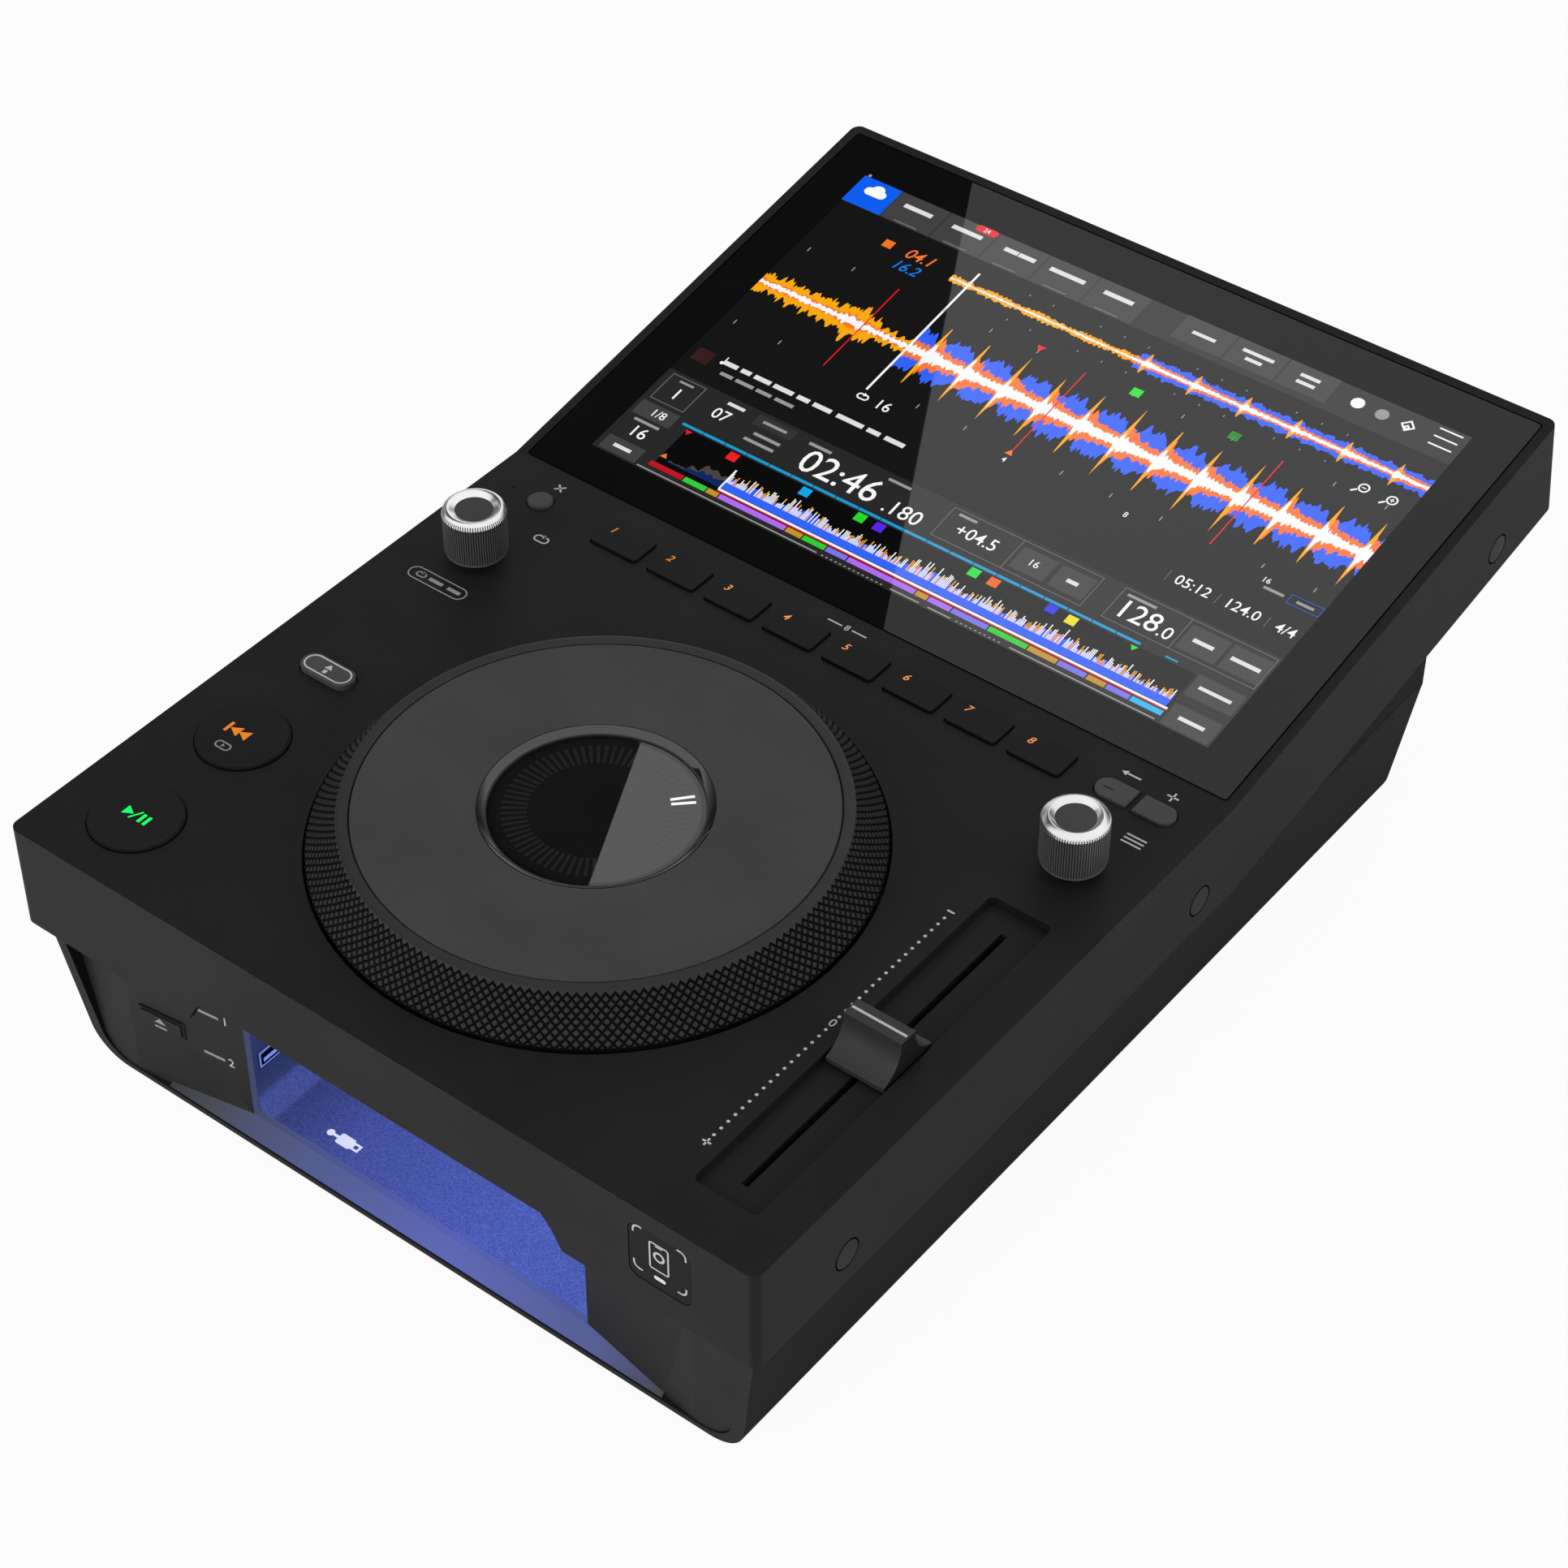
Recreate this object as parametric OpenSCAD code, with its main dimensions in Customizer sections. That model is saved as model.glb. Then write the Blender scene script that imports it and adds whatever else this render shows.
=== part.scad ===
// Tabletop media player: a flat control deck with a jog wheel, a tilted touch screen
// behind it and a lit bay for memory sticks in the base below.
// Frame: +X to the right, +Y to the back, +Z up, origin under the middle of the feet.

/* [Case] */
// Width of the upper case
case_w = 250; // [240:1:280]
// Length of the flat deck, front edge to bend
deck_d = 203.3; // [200:0.1:230]
// Length of the tilted screen section, seen from above
screen_d = 164.6; // [160:0.1:190]
// How far the back edge stands above the deck
screen_rise = 29; // [15:0.5:40]
// Thickness of the upper case
slab_t = 33.8; // [32:0.1:40]
// Radius of the four upright edges
case_edge_r = 3; // [1:0.5:6]
// Wall of the upper case
case_wall = 2.5; // [2:0.1:3]
// Thickness of the plate that closes the upper case from below
flange_t = 2.5; // [2:0.1:3]

/* [Base] */
// Height of the base below the upper case
base_h = 50.4; // [48:0.1:65]
// How far the base's sides stand back at their top
base_top_inset = 3.8; // [3:0.1:8]
// How far the base's sides stand back at the bottom
base_low_inset = 12; // [8:0.5:20]
// Radius of the long bottom edges
base_edge_r = 12; // [6:0.5:16]
// How far the base's front stands back at its top
base_front_top = 4.2; // [3:0.1:6]
// How far the base's front stands back at the bottom
base_front_low = 8.4; // [6.5:0.1:9]
// Distance from the front edge to the base's back
base_back = 313.5; // [300:0.5:330]
// Wall of the base
base_wall = 3.6; // [2.5:0.1:4.5]
// Height of the rubber feet
foot_h = 3.5; // [2:0.5:8]
// Radius of the rubber feet
foot_r = 11; // [8:0.5:15]

/* [Screen] */
// Width of the case's rim round the glass
screen_rim = 3; // [2.8:0.1:6]
// Thickness of the screen glass
glass_t = 2; // [1.5:0.1:3]
// Distance from the bend to the glass
glass_front = 1.4; // [1:0.1:4]
// How far the glass reaches beyond the display panel's sides
glass_side = 6.8; // [6:0.1:12]
// How far the glass reaches beyond the display panel's ends
glass_end = 7.4; // [6.6:0.1:12]
// Thickness of the display panel
panel_t = 4.5; // [3:0.1:6]

/* [Jog wheel] */
// How far the jog wheel stands in front of the middle of the space before the pads
jog_shift = 0.75; // [0:0.05:3]
// Radius of the jog ring at the deck
jog_r = 76.6; // [72:0.1:80]
// Radius of the top plate
plate_r = 64; // [58:0.1:65]
// Height of the top plate above the deck
plate_z = 12.4; // [10:0.1:16]
// Thickness of the top plate
plate_t = 2.2; // [1.5:0.1:3]
// Radius of the window in the top plate
window_r = 31.25; // [31:0.05:36]
// Radius of the display lens
lens_r = 28.6; // [24:0.1:29]
// How far the top plate can be pressed down
plate_travel = 0.4; // [0.2:0.1:0.5]
// Radius of the fixed column
column_r = 16; // [14:0.5:18]
// Number of slots in the encoder wheel
encoder_slots = 48; // [24:1:72]

/* [Buttons] */
// Radius of the play and cue buttons
play_r = 13; // [10:0.1:14]
// Travel of the large buttons
play_travel = 1; // [0.5:0.1:1.2]
// Travel of the small buttons
key_travel = 0.6; // [0.3:0.1:1]
// Width of a performance pad
pad_w = 16.6; // [12:0.1:18]
// Length of a performance pad
pad_d = 10; // [8:0.1:12]
// Distance from one pad to the next
pad_pitch = 20.84; // [20:0.02:21.5]
// Radius of the delete button
delete_r = 3.8; // [3:0.1:5]
// Width of the shift button
shift_w = 18; // [14:0.1:20]
// Length of the shift button
shift_d = 7.6; // [6:0.1:9]
// Width of the back and tag buttons
tag_w = 11.4; // [9:0.1:12]

/* [Knobs] */
// Radius of the loop and browse knobs
knob_r = 9.2; // [8:0.1:11]
// Gap between a knob and the deck
knob_lift = 2.8; // [2:0.1:4]
// Height of a knob
knob_h = 15.4; // [12:0.1:20]
// Radius of the encoder shafts
shaft_r = 3; // [2.5:0.1:3.2]
// Travel of a knob when it is pressed
knob_travel = 0.5; // [0.3:0.1:0.8]

/* [Fader] */
// Travel of the tempo fader
fader_travel = 100; // [80:1:100]
// Width of the fader cap
fader_cap_w = 18; // [14:0.1:18.5]
// Length of the fader cap
fader_cap_d = 20; // [16:0.5:22]
// Height of the fader cap's ridge above the deck
fader_cap_z = 10; // [7:0.5:12]
// Width of the fader's recess in the deck
fader_recess_w = 19.5; // [19:0.1:22]
// Width of the fader's slot
fader_slot_w = 2; // [1.8:0.1:2.4]

/* [Stick bay] */
// Width of the front beside the bay
wing_w = 66; // [65:0.5:75]
// Depth of the bay behind its front edge
bay_d = 31; // [28:0.5:32]
// Height of the notch in the upper case's front
notch_h = 9.8; // [8:0.1:10]
// How much narrower the notch's top is than the bay
notch_inset = 3; // [2.5:0.5:20]
// How much wider the notch is at its bottom
notch_flare = 13; // [8:0.5:16]
// Wall of the bay liner
liner_t = 1.5; // [1.2:0.1:2]
// Width of the eject button
eject_w = 15; // [12:0.5:18]
// Height of the eject button
eject_h = 5.8; // [5:0.1:8]
// Travel of the eject button
eject_travel = 1; // [0.5:0.1:1.2]
// Width of the touch panel
touch_w = 19; // [14:0.5:19.5]

/* [Rear] */
// Distance from the jack panel's opening to the base's inner side
rear_margin = 6.4; // [5:0.1:15]
// Travel of the power button
power_travel = 2.5; // [1.5:0.1:3]

/* [Clearances] */
// Gap round the buttons
button_gap = 0.35; // [0.25:0.05:0.5]
// Gap round the jog ring
jog_gap = 0.5; // [0.4:0.05:1]
// Gap between fixed pieces that fit into each other
fit_gap = 0.2; // [0.1:0.05:0.3]
// Radial clearance of shafts that turn or slide
run_gap = 0.05; // [0.02:0.01:0.1]

/* [Hidden] */
$fn = 96;
cut = 1;
tilt = atan(screen_rise / screen_d);
slope_d = norm([screen_d, screen_rise]);
glass_w = case_w - 2 * screen_rim - 2 * fit_gap;
glass_d = slope_d - glass_front - screen_rim - fit_gap;
panel_w = glass_w - 2 * glass_side;
panel_d = glass_d - 2 * glass_end;
case_d = deck_d + screen_d + slab_t * sin(tilt);
front_y = -case_d / 2;
deck_z = foot_h + base_h + slab_t;
floor_z = -slab_t - base_h;
floor_t = 2;
flange_top = -slab_t + flange_t;

// Left and right columns of controls
column_x = (case_w / 2 + jog_r) / 2;
left_x = -column_x + 0.2;
right_x = column_x + 2.8;
loop_x = left_x - 1.4;
delete_x = left_x - 3.4;
play_y = 22.9;
cue_y = 63;
shift_y = 96.6;
keys_y = deck_d - 13.6;
knob_y = keys_y - 29.9;
jog_y = (keys_y - pad_d / 2) / 2 - jog_shift;
fader_y = (knob_y - knob_r) / 2 + 1.3;
fader_x = right_x - 0.4;
back_x = right_x - 7.3;
tag_x = right_x + 6.1;
tag_d = 7.6;
pad_lift = 0.9;
play_lift = 0.8;
shift_lift = 1.6;
pilot_x = -case_w / 2 + 10.5;
pilot_r = 0.6;

// Heights under the deck
board_t = 1.6;
board_z = -12.8;
switch_h = 3.4;
switch_top = board_z + switch_h;
skirt_t = 1.2;
skirt_w = 1.4;
skirt_top = -case_wall - 0.1;
stem_gap = 0.1;
ledge_t = 2;

// Jog wheel
jog_hole_r = jog_r + jog_gap;
collar_h = 5;
lip_z = plate_z - 0.9;
lip_r = plate_r + 2.6;
ring_t = 2.6;
shelf_z = plate_z - plate_t - plate_travel - 0.2;
shelf_t = 2;
hub_top = shelf_z - shelf_t;
hub_r = plate_r - 2;
bush_t = 2.5;
bush_r = column_r + run_gap + bush_t;
sleeve_t = 3.5;
mount_top = -18.5;
mount_t = 2;
mount_post_r = 3.5;
mount_post_x = jog_hole_r + case_wall + mount_post_r + 0.3;
mount_r = mount_post_x + mount_post_r + 1;
bush_low = -15;
cup_z = hub_top + 0.6;
cup_floor = 0.8;
cup_r = lens_r + 0.8;
lens_z = plate_z - 1.9;
lens_t = 1;
wheel_r = 52;
wheel_z = -9;
wheel_t = 1;
wheel_rim = 6;

// Knobs and their encoders
bushing_r = shaft_r + 1.5;
encoder_w = 12;
encoder_top = board_z + 6.5;
bore_low = board_z + 1.6;
plunger_t = 1;
plunger_z = bore_low + knob_travel + 0.1;
shaft_low = plunger_z + plunger_t + 0.02;
shaft_top = knob_lift + knob_h - 3.5;
knob_cap_r = knob_r - 3.4;

// Fader
fader_recess_d = fader_travel + fader_cap_d + 2.6;
fader_tray_t = 1.5;
fader_unit_top = -case_wall - fader_tray_t;
lever_w = fader_slot_w - 0.6;
carriage_d = 12;
carriage_w = 7.4;
flank_y = fader_cap_d / 2 + 2;
flank_z = 0.885 * fader_cap_z;
flank_r = norm([flank_y - 3, fader_cap_z - flank_z]);

// Front bay
bay_w = case_w - 2 * wing_w;
notch_w = bay_w - notch_inset;
bay_front = 13.4;
face_t = 2;
bay_floor = floor_z + 5.7;
bay_roof = -slab_t + notch_h + 0.5;
bay_back = bay_front + face_t + bay_d;
liner_back = bay_back + liner_t;
wing_x = case_w / 2 - 27;
wing_y = base_front_low + 0.2;
front_lean = atan((base_front_low - base_front_top) / base_h);
ledge_front = base_front_low + 0.4;
face_angle = atan((bay_front - wing_y) / (wing_x - bay_w / 2));
shroud_w = bay_w + 18;
usb_z = [-44.2, -61.3];
usb_y = 24.4;
usb_w = 14.2;
usb_h = 6.8;
usb_l = 13;
usb_shell = 0.5;
eject_x = -case_w / 2 + 38;
eject_z = -57.5;
eject_out = 1.1;
eject_low = -7.8;
eject_board_z = eject_low - eject_travel - 0.1 - switch_h;
touch_x = case_w / 2 - 29.5;
touch_z = -15.6;
touch_t = 1;

// Side screws
side_y = [35.5, deck_d - 13.1];
side_s = 135.3;
side_drop = 23.6;
plug_r = 4.7;
plug_t = 1.2;
head_r = 2.9;
head_t = 1.6;
screw_r = 1.5;
screw_l = 8;
pad_t = 3.5;
tab_t = 6;
tab_w = 16;
tab_up = 6;

// Boards in the base
main_z = floor_z + 9;
main_y = 60;
main_d = 142;
inner_x = case_w / 2 - base_low_inset - base_wall;
main_right = inner_x - 3.4;
power_w = 42;
power_left = -inner_x + 2.4;
main_left = power_left + power_w + 5;
main_w = main_right - main_left;
main_post_y = [main_y + 6, main_y + main_d - 6];

// Rear
rear_w = 2 * (inner_x - rear_margin);
rear_low = floor_z + 16;
rear_high = -slab_t + 2;
rear_in = base_back - base_wall;
wiring_side = 30;
wiring_front = 60;
wiring_back = rear_in - 12;
panel_sheet = 1.5;
inlet_x = -rear_w / 2 + 17;
power_x = inlet_x + 35;
jack_x = [-20, 0, 20];
host_x = rear_w / 2 - 17;
lan_x = host_x - 30;
jack_z = (rear_low + rear_high) / 2;
jack_r = 4.15;
power_r = 6.05;
inlet_w = 27.6;
inlet_h = 20.6;
lan_w = 16;
lan_h = 13.5;
host_w = 12;
host_h = 11;

// Feet
foot_x = case_w / 2 - 40;
foot_y = [34, base_back - 30];

// Frames: on_deck() has its origin on the deck's front edge, on_slope() on the bend

module on_deck() translate([0, front_y, deck_z]) children();

module on_slope() on_deck() translate([0, deck_d, 0]) rotate([tilt, 0, 0]) children();

function slope_point(s, n) =
  [deck_d + s * cos(tilt) - n * sin(tilt), s * sin(tilt) + n * cos(tilt)];

// The bend line at depth n below the deck
function bend_point(n) = [deck_d - n * tan(tilt / 2), n];

// Extrudes an outline of (y, z) points along X, centred
module along_x(width) rotate([90, 0, 90]) linear_extrude(width, center = true) children();

// Extrudes an outline of (x, z) points along Y, from y0 to y1
module along_y(y0, y1) translate([0, y1, 0]) rotate([90, 0, 0]) linear_extrude(y1 - y0) children();

module rounded(w, d, r) {
  square([w - 2 * r, d], center = true);
  square([w, d - 2 * r], center = true);
  for (sx = [-1, 1], sy = [-1, 1])
    translate([sx * (w / 2 - r), sy * (d / 2 - r)]) circle(r);
}

module block(w, d, z0, z1) translate([-w / 2, -d / 2, z0]) cube([w, d, z1 - z0]);

module post(r, z0, z1) translate([0, 0, z0]) cylinder(z1 - z0, r = r);

module tube(r_out, r_in, z0, z1) {
  difference() {
    post(r_out, z0, z1);
    post(r_in, z0 - cut, z1 + cut);
  }
}

// ---- Upper case ----

// Side outline of the slab, taken in by w all round and open below by extra
module slab_outline(w, extra) {
  polygon([
    [w, -w], bend_point(-w), slope_point(slope_d - w, -w),
    slope_point(slope_d - w, -slab_t - extra), bend_point(-slab_t - extra), [w, -slab_t - extra]
  ]);
}

// Cuts one upright edge round, with the edge along Z and the case towards +X +Y
module edge_cut(r, z0, z1) {
  difference() {
    translate([-cut, -cut, z0]) cube([r + cut, r + cut, z1 - z0]);
    translate([r, r, z0 - cut]) cylinder(z1 - z0 + 2 * cut, r = r);
  }
}

module notch_outline() {
  polygon([
    [-notch_w / 2 - notch_flare / 2, -slab_t - cut],
    [-notch_w / 2 - notch_flare / 2, -slab_t],
    [-notch_w / 2 - notch_flare / 4, -slab_t + notch_h * 0.62],
    [-notch_w / 2, -slab_t + notch_h],
    [notch_w / 2, -slab_t + notch_h],
    [notch_w / 2 + notch_flare / 4, -slab_t + notch_h * 0.62],
    [notch_w / 2 + notch_flare / 2, -slab_t],
    [notch_w / 2 + notch_flare / 2, -slab_t - cut]
  ]);
}

// Places its children at each side screw, with +Z pointing out of the side and +X down
module at_side_screws() {
  for (sx = [-1, 1]) scale([sx, 1, 1]) {
    for (y = side_y)
      on_deck() translate([case_w / 2, y, -side_drop]) rotate([0, 90, 0]) children();
    on_slope() translate([case_w / 2, side_s, -side_drop]) rotate([0, 90, 0]) children();
  }
}

module deck_holes() {
  translate([0, jog_y, 0]) post(jog_hole_r, -slab_t, cut);
  for (y = [play_y, cue_y]) translate([left_x, y, 0]) post(play_r + button_gap, -slab_t, cut);
  translate([left_x, shift_y, -slab_t]) linear_extrude(slab_t + cut)
    rounded(shift_w + 2 * button_gap, shift_d + 2 * button_gap, shift_d / 2 + button_gap - 0.01);
  translate([delete_x, keys_y, 0]) post(delete_r + button_gap, -slab_t, cut);
  for (i = [0:7]) translate([(i - 3.5) * pad_pitch, keys_y, -slab_t]) linear_extrude(slab_t + cut)
    rounded(pad_w + 2 * button_gap, pad_d + 2 * button_gap, 1.2);
  translate([back_x, keys_y, -slab_t]) linear_extrude(slab_t + cut) tag_outline(-1, button_gap);
  translate([tag_x, keys_y, -slab_t]) linear_extrude(slab_t + cut) tag_outline(1, button_gap);
  for (x = [loop_x, right_x]) translate([x, knob_y, 0]) post(bushing_r + fit_gap, -slab_t, cut);
  translate([fader_x, fader_y, -slab_t]) linear_extrude(slab_t + cut)
    rounded(fader_recess_w, fader_recess_d, 2);
  translate([pilot_x, keys_y, 0]) post(pilot_r, -slab_t, cut);
}

module upper_case() color("#232323") {
  difference() {
    union() {
      difference() {
        on_deck() along_x(case_w) slab_outline(0, 0);
        on_deck() along_x(case_w - 2 * case_wall) slab_outline(case_wall, cut);
      }
      // Ledge that carries the screen glass
      on_slope() translate([0, slope_d / 2, 0])
        block(case_w - 2 * case_wall, slope_d - 2 * case_wall, -glass_t - ledge_t, -case_wall);
      on_deck() translate([0, jog_y, 0]) post(jog_hole_r + case_wall, -case_wall - collar_h, -case_wall);
      intersection() {
        at_side_screws() post(plug_r + 2.3, -case_wall - pad_t, -case_wall / 2);
        on_deck() along_x(case_w - 2) slab_outline(1, 0);
      }
    }
    on_deck() deck_holes();
    on_slope() translate([0, glass_front + glass_d / 2, -glass_t]) linear_extrude(glass_t + cut)
      rounded(glass_w + 2 * fit_gap, glass_d + 2 * fit_gap, 2);
    on_slope() translate([0, glass_front + glass_d / 2, 0])
      block(panel_w + 4, panel_d + 4, -slab_t, cut);
    on_deck() along_y(-cut, case_wall + cut) notch_outline();
    on_deck() translate([touch_x, 0, touch_z]) rotate([90, 0, 0]) translate([0, 0, -touch_t])
      linear_extrude(touch_t + cut) rounded(touch_w + 2 * fit_gap, touch_w + 2 * fit_gap, 3);
    at_side_screws() post(plug_r + 0.05, -plug_t - head_t, cut);
    at_side_screws() post(screw_r + fit_gap, -case_wall - pad_t - cut, 0);
    on_deck() for (sx = [-1, 1]) scale([sx, 1, 1])
      translate([-case_w / 2, 0, 0]) edge_cut(case_edge_r, -slab_t - cut, cut);
    on_slope() for (sx = [-1, 1]) scale([sx, -1, 1])
      translate([-case_w / 2, -slope_d, 0]) edge_cut(case_edge_r, -slab_t - cut, cut);
  }
}

// ---- Lower case ----

// Cross outline of the base, taken in by w; its top is at z = top
module base_outline(w, top) {
  half_top = case_w / 2 - base_top_inset - w;
  half_low = case_w / 2 - base_low_inset - w;
  low = floor_z + min(w, floor_t);
  r = base_edge_r - w / 2;
  lean = atan((base_low_inset - base_top_inset) / base_h);
  // Middle of the edge's arc, and where the arc meets the side
  mid_z = low + r;
  side_x = half_low + (mid_z - low) * tan(lean);
  mid_x = side_x - r / cos(lean);
  meet = [mid_x + r * cos(lean), mid_z - r * sin(lean)];
  high_x = half_top + (top + slab_t) * tan(lean);
  polygon([
    [-mid_x, low], [mid_x, low], [mid_x, mid_z], meet, [high_x, top],
    [-high_x, top], [-meet[0], meet[1]], [-mid_x, mid_z]
  ]);
  for (sx = [-1, 1]) translate([sx * mid_x, mid_z]) circle(r);
}

// Wedge between the base's level top and the tilted underside of the slab
module riser(w, back, rise) {
  along_x(case_w - 2 * base_top_inset - 2 * w) polygon([
    [deck_d - 20, -slab_t - 0.5], [back, -slab_t - 0.5], [back, under_z(back) + rise],
    bend_point(-slab_t + rise), [deck_d - 20, -slab_t + rise]
  ]);
}

// Height of the slab's underside at distance y behind the front edge
function under_z(y) = (y - deck_d) * tan(tilt) - slab_t / cos(tilt);

module flange() {
  edge = case_wall + fit_gap;
  along_x(case_w - 2 * edge) polygon([
    [edge, -slab_t], [edge, flange_top], bend_point(flange_top),
    slope_point(slope_d - edge, flange_top), slope_point(slope_d - edge, -slab_t),
    bend_point(-slab_t)
  ]);
}

// Upstand that takes a side screw, in the frame of at_side_screws()
module screw_tab() {
  tab_h = slab_t - side_drop + tab_up - flange_t / 2;
  translate([-tab_up, -tab_w / 2, -case_wall - pad_t - tab_t]) cube([tab_h, tab_w, tab_t - fit_gap]);
}

module lower_case() color("#2a2a2a") {
  difference() {
    union() {
      difference() {
        on_deck() union() {
          flange();
          along_y(base_front_top, base_back) base_outline(0, -slab_t + 0.5);
          riser(0, base_back, 0.3);
        }
        on_deck() {
          along_y(-cut, rear_in) base_outline(base_wall, -slab_t);
          riser(base_wall, rear_in, -0.1);
          // Room for the wiring between base and slab
          translate([0, (wiring_front + wiring_back) / 2, 0])
            block(case_w - 2 * wiring_side, wiring_back - wiring_front, -slab_t - cut, deck_z);
          // Front leans back towards the bottom
          translate([0, base_front_top, -slab_t]) rotate([front_lean, 0, 0])
            translate([-case_w, -40, -2 * base_h]) cube([2 * case_w, 40, 2 * base_h]);
          // Bay
          block(shroud_w + 2 * fit_gap, 2 * (liner_back + fit_gap), -slab_t - cut, flange_top + cut);
          // Jack panel
          translate([0, base_back, 0]) block(rear_w, 4 * base_wall, rear_low, rear_high);
        }
      }
      intersection() {
        at_side_screws() screw_tab();
        on_deck() along_x(case_w) slab_outline(case_wall + fit_gap, 0);
      }
      on_deck() {
        for (x = [power_left + 6, main_left - 11, main_left + 6, main_right - 6], y = main_post_y)
          translate([x, y, 0]) post(3, floor_z + floor_t / 2, main_z);
        for (sx = [-1, 1]) translate([sx * (bay_w / 2 - 14), bay_back + 5, 0])
          post(3, floor_z + floor_t / 2, bay_floor);
      }
    }
    at_side_screws() post(screw_r, -slab_t, 0);
  }
}

// ---- Front ----

// Plan of one side of the fascia, from the bay out to the base's side wall
module wing_plan() {
  polygon([
    [bay_w / 2, bay_front], [wing_x, wing_y], [case_w / 2, wing_y],
    [case_w / 2, wing_y + face_t], [wing_x, wing_y + face_t], [bay_w / 2, bay_front + face_t]
  ]);
}

module front_fascia() color("#303030") {
  on_deck() difference() {
    union() {
      intersection() {
        for (sx = [-1, 1]) scale([sx, 1, 1]) translate([0, 0, floor_z]) linear_extrude(base_h) wing_plan();
        along_y(-cut, 2 * bay_front) base_outline(base_wall + fit_gap, -slab_t);
      }
      // Tongues that fill the ends of the notch, inside the slab
      intersection() {
        for (sx = [-1, 1]) scale([sx, 1, 1])
          translate([0, 0, -slab_t - cut]) linear_extrude(bay_roof + slab_t + cut) wing_plan();
        block(shroud_w - 2 * liner_t - 2 * fit_gap, 4 * bay_front, -slab_t - cut, bay_roof);
      }
      // Ledge that slopes down from the bay's floor to the front
      along_x(2 * (wing_x - 11)) polygon([
        [ledge_front, floor_z + floor_t], [bay_front, bay_floor], [bay_front + face_t, bay_floor],
        [bay_front + face_t, floor_z + floor_t]
      ]);
    }
    at_eject() translate([0, 0, -cut]) linear_extrude(4 * face_t, center = true)
      rounded(eject_w + 2 * button_gap, eject_h + 2 * button_gap, 0.8);
  }
}

// Frame on the left wing's face, +Z pointing out of it
module at_eject() {
  translate([eject_x, wing_y + (eject_x + wing_x) * tan(face_angle), eject_z])
    rotate([90, 0, 0]) rotate([0, face_angle, 0]) children();
}

module eject_button() color("#3a3a3a") {
  on_deck() at_eject() {
    translate([0, 0, -4]) linear_extrude(4 + eject_out - 0.6) rounded(eject_w, eject_h, 0.6);
    linear_extrude(eject_out) rounded(eject_w - 1.2, eject_h - 1.2, 0.5);
    translate([0, 0, -face_t - 0.3 - skirt_t]) linear_extrude(skirt_t)
      rounded(eject_w + 2 * skirt_w, eject_h + 2 * skirt_w, 0.6);
    post(1.8, eject_low, -face_t);
  }
}

module bay_liner() color("#5566cc") {
  z0 = bay_floor - liner_t;
  z1 = bay_roof + liner_t;
  y0 = bay_front + face_t;
  on_deck() difference() {
    union() {
      translate([-bay_w / 2 - liner_t, y0, z0]) cube([bay_w + 2 * liner_t, liner_back - y0, z1 - z0]);
      translate([-shroud_w / 2, case_wall + fit_gap, -slab_t])
        cube([shroud_w, liner_back - case_wall - fit_gap, z1 + slab_t]);
    }
    translate([-bay_w / 2, y0 - cut, bay_floor]) cube([bay_w, bay_back - y0 + cut, bay_roof - bay_floor]);
    translate([-shroud_w / 2 + liner_t, -cut, -slab_t - cut])
      cube([shroud_w - 2 * liner_t, y0 + cut, bay_roof + slab_t + cut]);
    for (sx = [-1, 1]) scale([sx, 1, 1])
      translate([bay_w / 2 + liner_t, 0, -slab_t - cut])
        cube([shroud_w / 2 - bay_w / 2 - 2 * liner_t, bay_back + 2 * liner_t, bay_roof + slab_t + cut]);
    for (z = usb_z) translate([-bay_w / 2, usb_y, z]) rotate([0, 90, 0]) linear_extrude(8, center = true)
      rounded(usb_h + 2 * fit_gap, usb_w + 2 * fit_gap, 0.6);
  }
  // Slanted corners between the floor and the side walls
  on_deck() for (sx = [-1, 1]) scale([sx, 1, 1]) along_y(y0, bay_back)
    polygon([[bay_w / 2, bay_floor], [bay_w / 2, bay_floor + 5.6], [bay_w / 2 - 5.4, bay_floor]]);
}

module usb_sockets() color("silver") {
  on_deck() for (z = usb_z) translate([-bay_w / 2 - usb_l, usb_y, z]) {
    difference() {
      translate([0, -usb_w / 2, -usb_h / 2]) cube([usb_l, usb_w, usb_h]);
      translate([1.2, -usb_w / 2 + usb_shell, -usb_h / 2 + usb_shell])
        cube([usb_l, usb_w - 2 * usb_shell, usb_h - 2 * usb_shell]);
    }
    translate([1, -5.6, 0.4]) cube([usb_l - 2, 11.2, 1.8]);
  }
}

module front_boards() color("darkgreen") {
  on_deck() {
    translate([-bay_w / 2 - usb_l - board_t, usb_y - 9.4, usb_z[1] - 12])
      cube([board_t, 18.8, usb_z[0] - usb_z[1] + 20]);
    // Board behind the eject button, on two pillars
    at_eject() {
      block(14, 21, eject_board_z - board_t, eject_board_z);
      for (sy = [-1, 1]) translate([0, sy * 7.9, 0]) post(1.5, eject_board_z, -face_t);
    }
  }
}

module bay_light_board() color("darkgreen") {
  on_deck() {
    translate([0, liner_back + 4.3, 0]) block(bay_w - 14, 8, bay_floor, bay_floor + board_t);
    for (i = [-3:3]) translate([i * (bay_w - 34) / 6, liner_back + 1.8, 0])
      block(5, 3, bay_floor + board_t, bay_floor + board_t + 2.8);
  }
}

module touch_panel() color("#2c2c2c") {
  on_deck() translate([touch_x, 0, touch_z]) rotate([90, 0, 0]) translate([0, 0, -touch_t])
    linear_extrude(touch_t - 0.15) rounded(touch_w, touch_w, 2.8);
}

// ---- Screen ----

module screen_glass() color("#141414") {
  on_slope() translate([0, glass_front + glass_d / 2, -glass_t]) linear_extrude(glass_t)
    rounded(glass_w, glass_d, 1.8);
}

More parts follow.
